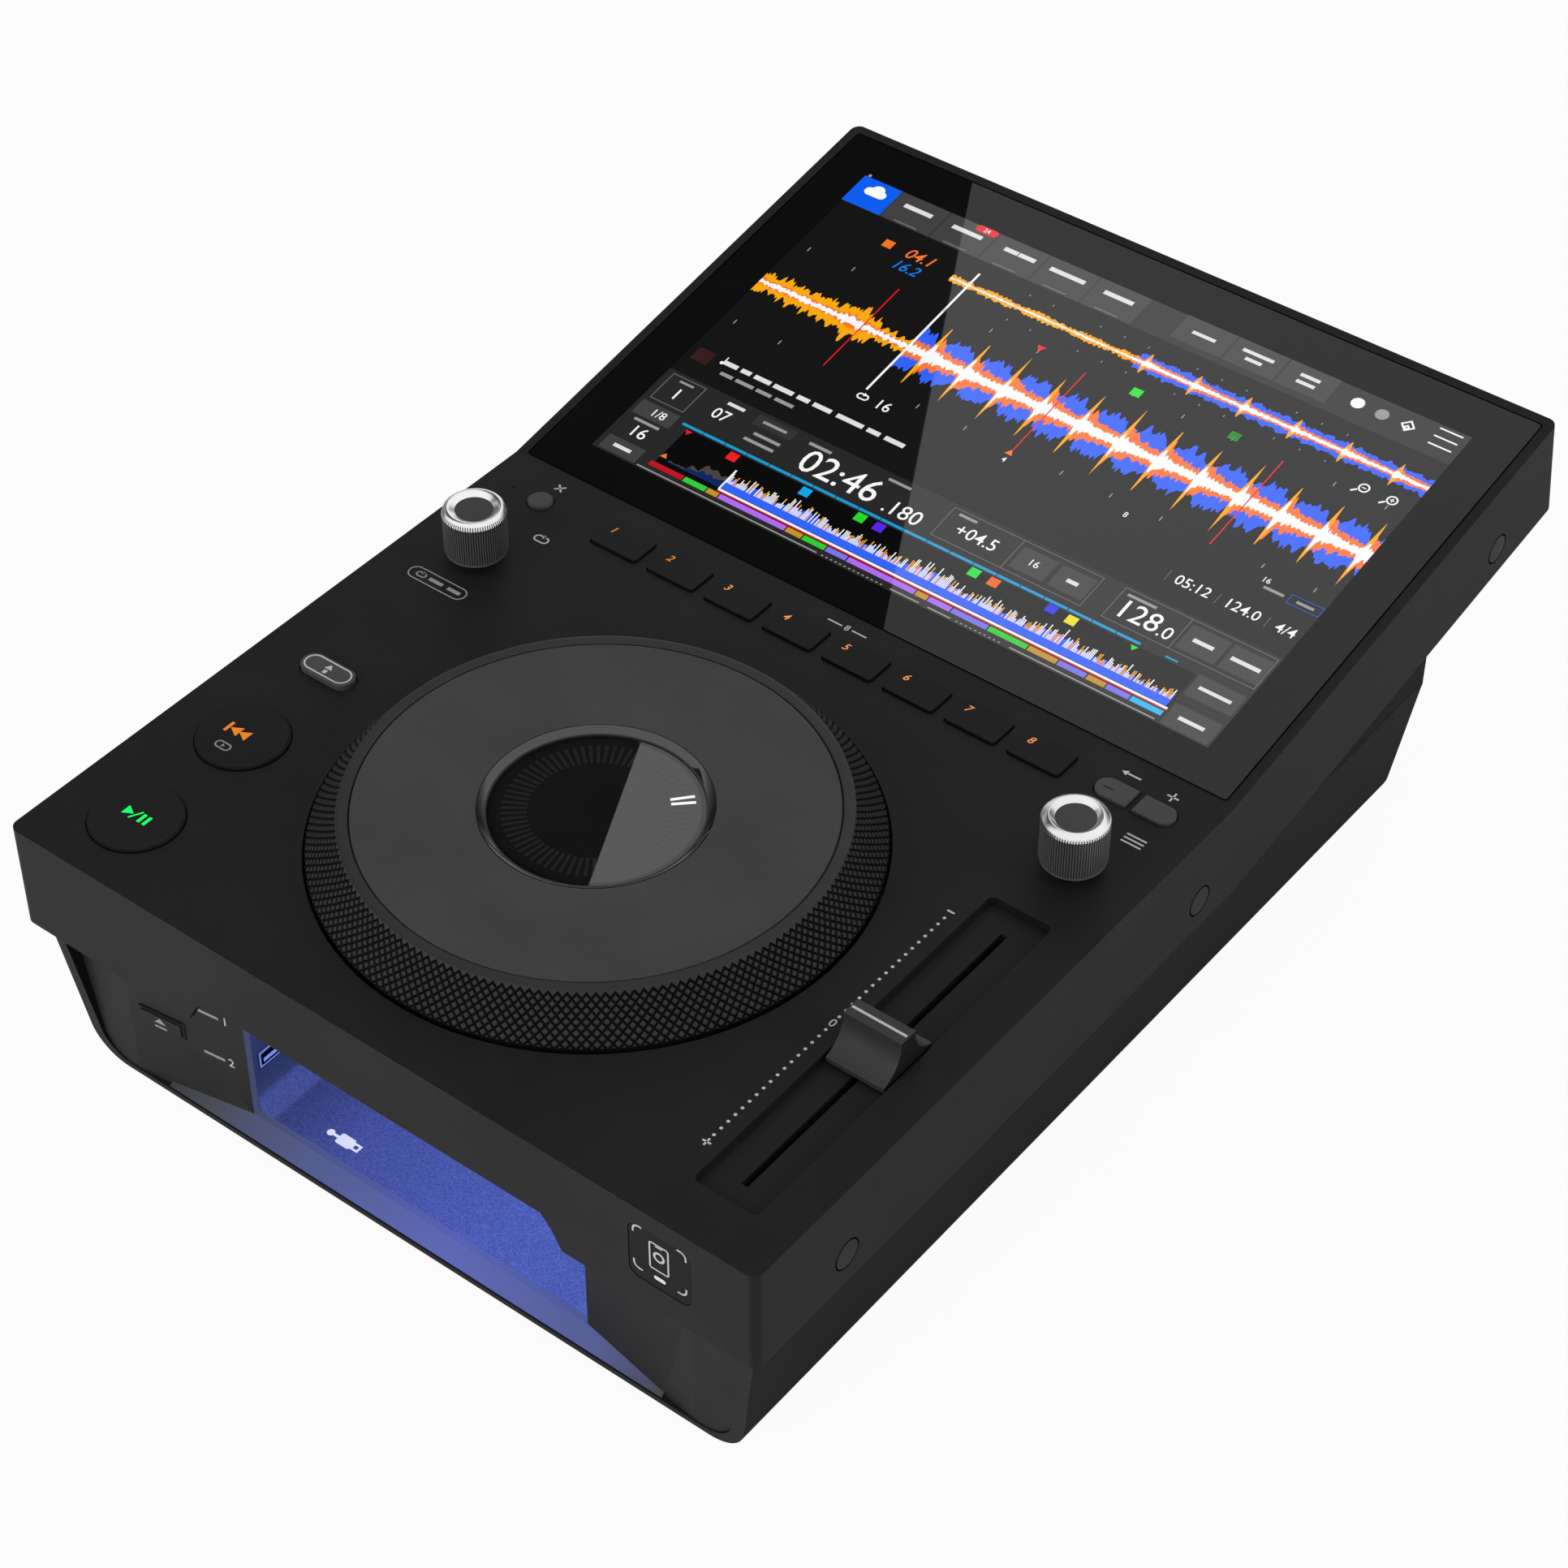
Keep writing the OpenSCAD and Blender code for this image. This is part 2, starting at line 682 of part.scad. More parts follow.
module display_panel() color("#101018") {
  on_slope() translate([0, glass_front + glass_d / 2, 0])
    block(panel_w, panel_d, -glass_t - panel_t, -glass_t);
}

module display_frame() color("silver") {
  top = -glass_t - panel_t;
  on_slope() translate([0, glass_front + glass_d / 2, 0]) {
    block(panel_w + 9, panel_d + 9, top - 1, top);
    difference() {
      block(panel_w + 9, panel_d + 9, top, -glass_t - ledge_t);
      block(panel_w + 6.6, panel_d + 6.6, top - cut, slab_t);
    }
    for (sx = [-1, 1]) translate([sx * panel_w * 0.28, 0, 0]) block(14, panel_d * 0.7, top - 3, top - 1);
  }
}

// ---- Jog wheel ----

module at_jog() on_deck() translate([0, jog_y, 0]) children();

module jog_ring() color("#343434") {
  at_jog() rotate_extrude() polygon([
    [jog_r, -4], [jog_r, 0.2], [lip_r, lip_z], [lip_r - 1.2, plate_z - 0.2],
    [plate_r + 0.3, plate_z - 0.2], [plate_r + 0.3, shelf_z], [hub_r - 5, shelf_z],
    [hub_r - 5, hub_top], [lip_r - ring_t - 1, hub_top], [jog_r - ring_t, 0], [jog_r - ring_t, -4]
  ]);
}

module jog_plate() color("#444444") {
  at_jog() rotate_extrude() polygon([
    [window_r, plate_z], [plate_r - 0.4, plate_z], [plate_r, plate_z - 0.4],
    [plate_r, plate_z - plate_t], [window_r - 1.3, plate_z - plate_t]
  ]);
}

module jog_hub() color("#222222") {
  at_jog() {
    tube(bush_r + sleeve_t, bush_r, bush_low, hub_top);
    difference() {
      tube(hub_r, bush_r + sleeve_t, hub_top - 2, hub_top);
      for (i = [0:7]) rotate(45 * i)
        translate([(wheel_r + bush_r) / 2 - 2, 0, 0]) post(7, -slab_t, plate_z);
    }
    tube(wheel_r - wheel_rim + 2, wheel_r - wheel_rim, wheel_z + wheel_t, hub_top - 2);
  }
}

module jog_bush() color("ivory") {
  at_jog() tube(bush_r, column_r + run_gap, bush_low, hub_top);
}

module jog_encoder_wheel() color("#111111") {
  at_jog() difference() {
    tube(wheel_r, wheel_r - wheel_rim, wheel_z, wheel_z + wheel_t);
    for (i = [0:encoder_slots - 1]) rotate(360 * i / encoder_slots)
      translate([wheel_r - 3, -0.8, wheel_z - cut]) cube([2, 1.6, wheel_t + 2 * cut]);
  }
}

module jog_sensor() color("#181818") {
  at_jog() rotate(180) difference() {
    translate([wheel_r - 3.6, -4, mount_top]) cube([8, 8, 13.5]);
    translate([wheel_r - 3.6 - cut, -4 - cut, wheel_z - 0.8])
      cube([4.6 + cut, 8 + 2 * cut, wheel_t + 1.6]);
  }
}

module jog_mount() color("silver") {
  at_jog() {
    difference() {
      union() {
        tube(mount_r, column_r - 4, mount_top - mount_t, mount_top);
        tube(column_r, column_r - 4, mount_top, cup_z);
      }
      for (i = [0:5]) rotate(60 * i + 30) translate([46, 0, 0]) post(12, -slab_t, mount_top + cut);
    }
    tube(bush_r, column_r, mount_top, bush_low - 0.1);
    for (i = [0:3]) rotate(90 * i + 45)
      translate([mount_post_x, 0, 0]) post(mount_post_r, mount_top, -case_wall);
  }
}

module jog_display_cup() color("#1a1a1a") {
  at_jog() {
    difference() {
      post(cup_r, cup_z, lens_z + 0.3);
      post(lens_r + 0.05, cup_z + cup_floor, plate_z);
    }
  }
}

module jog_display() color("#101010") {
  at_jog() post(lens_r - 0.4, cup_z + cup_floor, lens_z - lens_t);
}

module jog_lens() color("#1c1c1c") {
  at_jog() post(lens_r, lens_z - lens_t, lens_z);
}

// ---- Buttons ----

// Skirt and stem under a key; the skirt's outline is the child
module key_base(travel) {
  translate([0, 0, skirt_top - skirt_t]) linear_extrude(skirt_t) children();
  post(1.8, switch_top + stem_gap + travel, skirt_top);
}

module round_key(r, top, travel) {
  post(r - 0.4, skirt_top - skirt_t, top);
  post(r, skirt_top - skirt_t, top - 0.3);
  key_base(travel) circle(r + skirt_w);
}

module play_button() color("#262626") {
  on_deck() translate([left_x, play_y, 0]) round_key(play_r, play_lift, play_travel);
}

module cue_button() color("#262626") {
  on_deck() translate([left_x, cue_y, 0]) round_key(play_r, play_lift, play_travel);
}

module shift_button() color("#4a4a4a") {
  on_deck() translate([left_x, shift_y, 0]) {
    translate([0, 0, skirt_top - skirt_t]) linear_extrude(shift_lift - skirt_top + skirt_t)
      rounded(shift_w, shift_d, shift_d / 2 - 0.01);
    key_base(key_travel) rounded(shift_w + 2 * skirt_w, shift_d + 2 * skirt_w, shift_d / 2);
  }
}

module pad(i) color("#262626") {
  on_deck() translate([(i - 4.5) * pad_pitch, keys_y, 0]) {
    translate([0, 0, skirt_top - skirt_t]) linear_extrude(pad_lift - skirt_top + skirt_t)
      rounded(pad_w, pad_d, 1);
    key_base(key_travel) rounded(pad_w + 2 * skirt_w, pad_d + 2 * skirt_w, 1);
  }
}

module pad_1() pad(1);
module pad_2() pad(2);
module pad_3() pad(3);
module pad_4() pad(4);
module pad_5() pad(5);
module pad_6() pad(6);
module pad_7() pad(7);
module pad_8() pad(8);

module delete_button() color("#4a4a4a") {
  on_deck() translate([delete_x, keys_y, 0]) round_key(delete_r, 0.9, key_travel);
}

// Half-round key: straight towards the middle, round on the side that side names
module tag_outline(side, grow) {
  scale([side, 1]) {
    translate([-tag_w / 2 - grow, -tag_d / 2 - grow]) square([tag_w - tag_d / 2 + grow, tag_d + 2 * grow]);
    translate([tag_w / 2 - tag_d / 2, 0]) circle(tag_d / 2 + grow);
  }
}

module tag_key(side) {
  translate([0, 0, skirt_top - skirt_t]) linear_extrude(0.8 - skirt_top + skirt_t) tag_outline(side, 0);
  key_base(key_travel) tag_outline(side, 0.8);
}

module back_button() color("#4a4a4a") on_deck() translate([back_x, keys_y, 0]) tag_key(-1);

module tag_button() color("#4a4a4a") on_deck() translate([tag_x, keys_y, 0]) tag_key(1);

// ---- Knobs ----

module knob() {
  difference() {
    union() {
      post(knob_r - 0.15, knob_lift, knob_lift + knob_h - 1.6);
      post(knob_r, knob_lift + knob_h - 1.6, knob_lift + knob_h - 0.7);
      post(knob_r - 0.7, knob_lift + knob_h - 0.7, knob_lift + knob_h);
    }
    post(knob_cap_r, knob_lift + knob_h - 2.6, knob_lift + knob_h + cut);
    post(shaft_r, knob_lift - cut, shaft_top);
  }
}

module knob_cap() {
  post(knob_cap_r, knob_lift + knob_h - 2.6, knob_lift + knob_h - 1.2);
}

module shaft() {
  post(shaft_r, shaft_low, shaft_top);
}

module plunger() {
  post(shaft_r, plunger_z, plunger_z + plunger_t);
}

module at_loop() on_deck() translate([loop_x, knob_y, 0]) children();

module at_browse() on_deck() translate([right_x, knob_y, 0]) children();

module loop_knob() color("#9a9a9c") at_loop() knob();
module loop_knob_cap() color("#3c3c3e") at_loop() knob_cap();
module loop_shaft() color("silver") at_loop() shaft();
module loop_plunger() color("ivory") at_loop() plunger();
module browse_knob() color("#9a9a9c") at_browse() knob();
module browse_knob_cap() color("#3c3c3e") at_browse() knob_cap();
module browse_shaft() color("silver") at_browse() shaft();
module browse_plunger() color("ivory") at_browse() plunger();

module encoder() {
  difference() {
    union() {
      block(encoder_w, encoder_w, board_z, encoder_top);
      post(bushing_r, encoder_top, 0);
    }
    post(shaft_r + run_gap, bore_low, cut);
  }
}

module encoders() color("silver") {
  at_loop() encoder();
  at_browse() encoder();
}

// ---- Fader ----

module at_fader() on_deck() translate([fader_x, fader_y, 0]) children();

module fader_cap() color("#4a4a4a") {
  at_fader() difference() {
    block(fader_cap_w, fader_cap_d, -1.8, fader_cap_z);
    for (sy = [-1, 1]) translate([0, sy * flank_y, flank_z]) rotate([0, 90, 0])
      cylinder(2 * fader_cap_w, r = flank_r, center = true);
    block(lever_w, 6, -slab_t, fader_cap_z - 4);
  }
}

module fader_lever() color("silver") {
  at_fader() {
    block(lever_w, 6, -11, fader_cap_z - 4);
    block(carriage_w, carriage_d, -10.8, -7);
  }
}

module fader_unit() color("#2b2b2b") {
  run = fader_travel + carriage_d + 0.6;
  at_fader() difference() {
    block(carriage_w + 4.6, run + 12, board_z, fader_unit_top);
    block(carriage_w + 0.6, run, -11.4, -6.6);
    block(fader_slot_w, fader_travel + 7, -10, 0);
  }
}

module fader_tray() color("#262626") {
  at_fader() difference() {
    block(fader_recess_w + 5, fader_recess_d + 5, fader_unit_top, -case_wall);
    block(fader_slot_w, fader_travel + 7, -slab_t, slab_t);
  }
}

// ---- Boards and switches ----

module control_boards() color("darkgreen") {
  z0 = board_z - board_t;
  on_deck() {
    translate([left_x - 14, 10, z0]) cube([24, keys_y - 4, board_t]);
    translate([0, keys_y, 0]) block(8 * pad_pitch, 20, z0, board_z);
    translate([right_x - 13.5, 10, z0]) cube([25.5, keys_y - 4, board_t]);
    // Pillars that hang the boards from the deck
    for (y = [(play_y + cue_y) / 2, (shift_y + knob_y) / 2])
      translate([left_x, y, 0]) post(2, board_z, -case_wall);
    for (y = [knob_y - 13.3, knob_y + 14]) translate([right_x, y, 0]) post(2, board_z, -case_wall);
    for (sx = [-1, 1]) translate([sx * 3 * pad_pitch, keys_y - 8.4, 0]) post(1.4, board_z, -case_wall);
  }
}

module tact_switch() {
  block(6, 6, board_z, board_z + switch_h - 0.8);
  post(1.7, board_z, switch_top);
}

module tact_switches() color("#1a1a1a") {
  on_deck() {
    for (y = [play_y, cue_y, shift_y]) translate([left_x, y, 0]) tact_switch();
    translate([delete_x, keys_y, 0]) tact_switch();
    for (i = [0:7]) translate([(i - 3.5) * pad_pitch, keys_y, 0]) tact_switch();
    for (x = [back_x, tag_x]) translate([x, keys_y, 0]) tact_switch();
    at_eject() translate([0, 0, eject_board_z - board_z]) tact_switch();
  }
}

module main_board() color("darkgreen") {
  on_deck() {
    translate([main_left, main_y, main_z]) cube([main_w, main_d, board_t]);
    translate([main_left, main_y, main_z + board_t]) {
      translate([main_w / 2 - 17, 50, 0]) cube([34, 34, 3]);
      translate([main_w - 36, 60, 0]) cube([22, 14, 2]);
      translate([22, 90, 0]) cube([18, 18, 2]);
      for (x = [14, main_w / 2 - 8, main_w - 30]) translate([x, 12, 0]) cube([16, 6, 7]);
    }
  }
}

module power_supply() color("#6a4a20") {
  on_deck() {
    translate([power_left, main_y, main_z]) cube([power_w, main_d, board_t]);
    translate([power_left, main_y, main_z + board_t]) {
      translate([6, 50, 0]) cube([30, 32, 24]);
      for (y = [26, 106]) translate([21, y, 0]) cylinder(24, r = 8);
      translate([4, 126, 0]) cube([12, 8, 10]);
    }
  }
}

// ---- Rear ----

// Round hole along Y, for the jack panel
module round_hole(x, r) translate([x, 0, 0]) rotate([90, 0, 0]) cylinder(4 * panel_sheet, r = r);

module jack_panel() color("#1e1e1e") {
  on_deck() difference() {
    translate([0, rear_in - panel_sheet / 2, 0])
      block(rear_w + 8, panel_sheet, rear_low - 4, rear_high + 4);
    translate([0, rear_in + panel_sheet, jack_z]) {
      round_hole(power_x, power_r + 0.25);
      for (x = jack_x) round_hole(x, jack_r + fit_gap);
      for (c = [[inlet_x, inlet_w, inlet_h], [lan_x, lan_w, lan_h], [host_x, host_w, host_h]])
        translate([c[0], 0, 0]) socket_block(c[1] + 2 * fit_gap, c[2] + 2 * fit_gap, 4 * panel_sheet);
    }
  }
}

// Solid block from the panel's outside inwards, w by h, length l
module socket_block(w, h, l) translate([-w / 2, -l, -h / 2]) cube([w, l, h]);

module rear_sockets() color("#2c2c2c") {
  on_deck() translate([0, rear_in, jack_z]) {
    for (x = jack_x) translate([x, 0, 0]) difference() {
      union() {
        translate([0, 8, 0]) rotate([90, 0, 0]) cylinder(8 + panel_sheet, r = jack_r);
        translate([0, -panel_sheet, 0]) socket_block(10, 14, 12);
      }
      translate([0, 9, 0]) rotate([90, 0, 0]) cylinder(12, r = 1.6);
    }
    translate([lan_x, 0, 0]) difference() {
      socket_block(lan_w, lan_h, 20);
      translate([0, cut, -0.6]) socket_block(11.8, 8.4, 14);
    }
    translate([host_x, 0, 0]) {
      difference() {
        socket_block(host_w, host_h, 16);
        translate([0, cut, 0]) socket_block(8.6, 7.8, 11);
      }
      translate([0, -0.8, 0]) socket_block(5.6, 3.2, 10);
    }
    // Body of the power switch
    translate([power_x, -panel_sheet - power_travel - 0.3, 0]) socket_block(14, 14, 14);
    translate([power_x, -panel_sheet, 0]) difference() {
      socket_block(14, 14, power_travel + 0.3);
      translate([0, cut, 0]) socket_block(13, 13, power_travel + 0.3 + 2 * cut);
    }
  }
}

module mains_inlet() color("#161616") {
  on_deck() translate([inlet_x, rear_in, jack_z]) {
    difference() {
      union() {
        socket_block(inlet_w, inlet_h, 24);
        translate([0, 2, 0]) socket_block(inlet_w + 3.4, inlet_h + 3.4, 2);
      }
      translate([0, 3, 0]) socket_block(23, 16, 19);
    }
    for (p = [[-7, 0.5], [7, 0.5], [0, -4]]) translate([p[0], -1, p[1]]) socket_block(2, 4, 16);
  }
}

module power_button() color("#303030") {
  on_deck() translate([power_x, rear_in - panel_sheet, jack_z]) {
    translate([0, 6, 0]) rotate([90, 0, 0]) cylinder(6.2, r = power_r);
  }
}

// ---- Feet, plugs and screws ----

module feet() color("#151515") {
  for (x = [-foot_x, foot_x], y = foot_y) translate([x, front_y + y, 0]) {
    cylinder(1, r1 = foot_r - 1, r2 = foot_r);
    translate([0, 0, 1]) cylinder(foot_h - 1, r = foot_r);
  }
}

module side_plugs() color("#2e2e2e") at_side_screws() post(plug_r, -plug_t, 0);

module case_screws() color("silver") {
  at_side_screws() {
    post(head_r, -plug_t - head_t, -plug_t);
    post(screw_r, -plug_t - head_t - screw_l, -plug_t - head_t);
  }
}

upper_case();
lower_case();
front_fascia();
bay_liner();
usb_sockets();
front_boards();
bay_light_board();
eject_button();
touch_panel();
screen_glass();
display_panel();
display_frame();
jog_ring();
jog_plate();
jog_hub();
jog_bush();
jog_encoder_wheel();
jog_sensor();
jog_mount();
jog_display_cup();
jog_display();
jog_lens();
play_button();
cue_button();
shift_button();
pad_1();
pad_2();
pad_3();
pad_4();
pad_5();
pad_6();
pad_7();
pad_8();
delete_button();
back_button();
tag_button();
loop_knob();
loop_knob_cap();
loop_shaft();
loop_plunger();
browse_knob();
browse_knob_cap();
browse_shaft();
browse_plunger();
encoders();
fader_cap();
fader_lever();
fader_unit();
fader_tray();
main_board();
control_boards();
tact_switches();
power_supply();
jack_panel();
rear_sockets();
mains_inlet();
power_button();
feet();
side_plugs();
case_screws();
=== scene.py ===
import bpy
import math
import random
from mathutils import Matrix, Vector


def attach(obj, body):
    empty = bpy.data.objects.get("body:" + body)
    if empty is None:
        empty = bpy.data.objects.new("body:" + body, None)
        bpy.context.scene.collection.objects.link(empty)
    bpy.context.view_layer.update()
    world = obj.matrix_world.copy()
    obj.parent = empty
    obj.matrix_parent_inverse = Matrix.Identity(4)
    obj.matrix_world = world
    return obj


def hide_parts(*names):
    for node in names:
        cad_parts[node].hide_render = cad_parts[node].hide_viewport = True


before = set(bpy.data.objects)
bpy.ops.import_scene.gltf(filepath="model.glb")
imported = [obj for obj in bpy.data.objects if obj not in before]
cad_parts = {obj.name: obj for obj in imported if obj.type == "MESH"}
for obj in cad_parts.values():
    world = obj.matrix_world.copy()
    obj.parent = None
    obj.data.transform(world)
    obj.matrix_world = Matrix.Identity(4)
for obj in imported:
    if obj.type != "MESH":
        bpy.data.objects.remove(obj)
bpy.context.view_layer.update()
random.seed(7)

# ---- Sizes, in millimetres, and the surfaces that pieces are laid on ----

MM = 0.001
QUARTER = math.pi / 2
# The deck's front edge and top in the part's frame; where the screen section starts, and its tilt
FRONT = -186.8823
DECK = 87.7
BEND = 203.3
TILT = math.atan(29 / 164.6)
JOG_Y = 91.6
LENS_Z = 10.5
# Middle of the eject button, and how far its wing is turned back
EJECT = (-87.0, 9.954, -57.5)
WING_TURN = math.radians(7.017)


def shift(x, y, z=0.0):
    """A move, as a matrix."""
    return Matrix.Translation((x, y, z))


def turned(angle, axis):
    """A turn, as a matrix."""
    return Matrix.Rotation(angle, 4, axis)


deck = Matrix.Scale(MM, 4) @ shift(0, FRONT, DECK)
glass = deck @ shift(0, BEND) @ turned(TILT, "X")
jog = deck @ shift(0, JOG_Y)
lens = jog @ shift(0, 0, LENS_Z)
face = deck @ turned(QUARTER, "X")
wing = deck @ shift(*EJECT) @ turned(QUARTER, "X") @ turned(WING_TURN, "Y")


# ---- Camera ----

camera_data = bpy.data.cameras.new("camera")
camera_data.lens = 86.80
camera_data.sensor_width = 36
camera = bpy.data.objects.new("camera", camera_data)
bpy.context.scene.collection.objects.link(camera)
camera.location = (0.47899, -0.63001, 0.76928)
camera.rotation_euler = (math.radians(47.253), 0, math.radians(37.962))
bpy.context.scene.camera = camera


# ---- Materials ----

# How far a surface's roughness wanders, and over what distance its colour does
ROUGH_DRIFT = 0.06
COLOUR_DRIFT = 25


def linear(code):
    """The linear colour of an sRGB hex value."""
    parts = [int(code[i:i + 2], 16) / 255 for i in (1, 3, 5)]
    return [p / 12.92 if p <= 0.04045 else ((p + 0.055) / 1.055) ** 2.4 for p in parts] + [1]


def add(tree, kind, settings=None, links=None):
    """Adds one node with its settings and the sockets that feed it."""
    node = tree.nodes.new("ShaderNode" + kind)
    for key, value in (settings or {}).items():
        if isinstance(key, int) or key in node.inputs:
            node.inputs[key].default_value = value
        else:
            setattr(node, key, value)
    for key, source in (links or {}).items():
        tree.links.new(source, node.inputs[key])
    return node


def blank(name):
    """A material with an empty node tree and its output."""
    made = bpy.data.materials.new(name)
    made.use_nodes = True
    made.node_tree.nodes.clear()
    return made, made.node_tree, made.node_tree.nodes.new("ShaderNodeOutputMaterial")


def shows(tree, node, out):
    """Links a shader to the output."""
    tree.links.new(node.outputs[0], out.inputs["Surface"])


def grain(tree, size_mm, detail=2.0):
    """Noise on object coordinates whose grains are size_mm across."""
    place = add(tree, "TexCoord").outputs["Object"]
    noise = add(tree, "TexNoise", {"Scale": 1 / (size_mm * MM), "Detail": detail}, {"Vector": place})
    return noise.outputs["Fac"]


def stops(tree, source, table):
    """A colour ramp on source whose stops are (position, hex colour)."""
    ramp = add(tree, "ValToRGB", None, {"Fac": source})
    for index, (place, code) in enumerate(table):
        stop = ramp.color_ramp.elements[index] if index < 2 else ramp.color_ramp.elements.new(place)
        stop.position = place
        stop.color = linear(code)
    return ramp.outputs["Color"]


def moulded(name, dark, light, rough, level, grain_mm, depth_mm, metal=0.0):
    """A textured surface: fine grain in its height and roughness, slow drift in its colour."""
    made, tree, out = blank(name)
    fine = grain(tree, grain_mm)
    tone = stops(tree, grain(tree, COLOUR_DRIFT, 3), [(0.3, dark), (0.7, light)])
    smoothest = max(0.0, rough - ROUGH_DRIFT)
    roughest = rough + ROUGH_DRIFT * min(1.0, rough * 4)
    gloss = add(tree, "MapRange", {"To Min": smoothest, "To Max": roughest}, {"Value": fine})
    height = add(tree, "Bump", {"Strength": 0.5, "Distance": depth_mm * MM}, {"Height": fine})
    shader = add(tree, "BsdfPrincipled", {"Specular IOR Level": level, "Metallic": metal}, {
        "Base Color": tone, "Roughness": gloss.outputs["Result"], "Normal": height.outputs["Normal"]})
    shows(tree, shader, out)
    return made


def lit(name, code, strength=1.0, level=0.6, rough=0.01, grain_mm=0.9):
    """A lit display colour under the glass: pixels that vary a little, with the glass's own gloss."""
    made, tree, out = blank(name)
    dim = [c * 0.88 for c in linear(code)[:3]] + [1]
    tone = add(tree, "Mix", {"data_type": "RGBA", 6: dim, 7: linear(code)}, {0: grain(tree, grain_mm)})
    shader = add(tree, "BsdfPrincipled", {
        "Base Color": (0, 0, 0, 1), "Roughness": rough, "Specular IOR Level": level,
        "Emission Strength": strength}, {"Emission Color": tone.outputs[2]})
    shows(tree, shader, out)
    return made


def along_axis(tree, axis, start, end):
    """How far a point is from start to end along an axis of the part, in metres."""
    axes = add(tree, "SeparateXYZ", None, {"Vector": add(tree, "TexCoord").outputs["Object"]})
    share = add(tree, "MapRange", {"From Min": start, "From Max": end}, {"Value": axes.outputs[axis]})
    return share.outputs["Result"]


def times(tree, one, other):
    """Two colours multiplied."""
    mix = add(tree, "Mix", {"data_type": "RGBA", "blend_type": "MULTIPLY", 0: 1.0}, {6: one, 7: other})
    return mix.outputs[2]


def glowing(name, across, upward, base, spark_low, spark_high):
    """Plastic that glows with painted light, standing in for the bay's diodes: its glow changes across and
    upward, with a fine sparkle.
    """
    made, tree, out = blank(name)
    tone = stops(tree, along_axis(tree, "X", -0.1, 0.1), across)
    shade = stops(tree, along_axis(tree, "Z", 0.0, 0.05), upward)
    spark = add(tree, "MapRange", {
        "From Min": 0.35, "From Max": 0.75, "To Min": spark_low, "To Max": spark_high},
        {"Value": grain(tree, 0.45, 1)})
    glow = times(tree, times(tree, tone, shade), spark.outputs["Result"])
    shader = add(tree, "BsdfPrincipled", {
        "Base Color": linear(base), "Roughness": 0.5, "Specular IOR Level": 0.2, "Emission Strength": 1.0},
        {"Emission Color": glow})
    shows(tree, shader, out)
    return made


def inked(name, dark, light):
    """Screen-printed ink: matt, with the slight unevenness of the print."""
    return moulded(name, dark, light, 0.6, 0.2, 0.4, 0.005)


# Spark-eroded ABS, black: matt and fine-grained; the grain is drawn at 0.5 mm so that it shows
abs_deck = moulded("abs_spark_eroded_deck", "#191919", "#1d1d1d", 0.52, 0.10, 0.5, 0.02)
# The same ABS, painted a shade lighter: painted light on the deck's front face, which catches more light than
# the top; the plug caps take the same tone
abs_front_painted_light = moulded("abs_front_edge_painted_light", "#1e1e1e", "#232323", 0.45, 0.12, 0.5, 0.02)
# The same ABS on the base, moulded a shade smoother
abs_base = moulded("abs_moulded_base", "#1e1e1e", "#222222", 0.5, 0.16, 0.6, 0.02)
# The same ABS on the sides of the base, painted darker and less glossy: painted shade, a shaded copy of the
# base's ABS
abs_base_side_painted_shade = moulded("abs_base_sides_painted_darker", "#1a1a1a", "#1e1e1e", 0.55, 0.03, 0.6, 0.02)
# Near-black ABS that paints the shade of a narrow gap: painted shade on the rims of the plugs and on the line
# round the glass
painted_gap_shade = moulded("abs_plug_rim_painted_shade", "#040404", "#060606", 0.9, 0.0, 0.5, 0.01)
# ABS front inserts beside the bay, satin
abs_fascia = moulded("abs_satin_fascia", "#232323", "#282828", 0.45, 0.16, 0.6, 0.02)
# Rubber-coated keys: dead matt
key_abs = moulded("abs_matt_key", "#181818", "#1c1c1c", 0.6, 0.1, 0.4, 0.02)
# Small grey keys: ABS with a silky paint
key_grey = moulded("abs_painted_grey_key", "#404040", "#464646", 0.5, 0.2, 0.4, 0.01)
# Jog ring: moulded ABS, satin, so that each diamond catches a little light
ring_abs = moulded("abs_satin_jog_ring", "#242424", "#292929", 0.42, 0.25, 0.5, 0.01)
# The same ring, painted near black in its grooves and under its lower edge: painted shade
ring_painted_groove_shade = moulded("abs_jog_groove_painted_shade", "#0d0d0d", "#111111", 0.6, 0.08, 0.5, 0.01)
# Jog plate: aluminium sprayed with soft-touch paint, even and matt
plate_paint = moulded("soft_touch_paint_jog_plate", "#3d3d3d", "#424242", 0.6, 0.12, 0.35, 0.01)
# Polycarbonate window wall, black and glossy
window_gloss = moulded("polycarbonate_gloss_window", "#1c1c1c", "#222222", 0.06, 0.9, 3, 0.0005)
# Back-printed glass: black mirror
touch_glass = moulded("back_printed_touch_glass", "#101010", "#121212", 0.01, 0.32, 8, 0.00002)
# Acrylic lens over the jog display: black mirror, a little brighter in reflection
lens_acrylic = moulded("acrylic_display_lens", "#171717", "#1a1a1a", 0.01, 1.0, 8, 0.00002)
# The printed border at the lens's edge, a shade duller
lens_border = moulded("printed_lens_border", "#131313", "#151515", 0.02, 0.75, 8, 0.00002)
# Turned and polished aluminium
polished = moulded("aluminium_polished", "#e8e8e8", "#f6f6f6", 0.25, 0.5, 0.3, 0.001, metal=1.0)
# Aluminium, knurled and anodised dark grey
anodised = moulded("aluminium_anodised_dark", "#666666", "#787878", 0.4, 0.5, 0.4, 0.01, metal=0.5)
# The same, painted darker in the gaps between the ridges: painted shade
anodised_painted_gap_shade = moulded("aluminium_anodised_gap_painted_shade", "#3a3a3a", "#444444", 0.5, 0.3, 0.4, 0.01, metal=0.5)
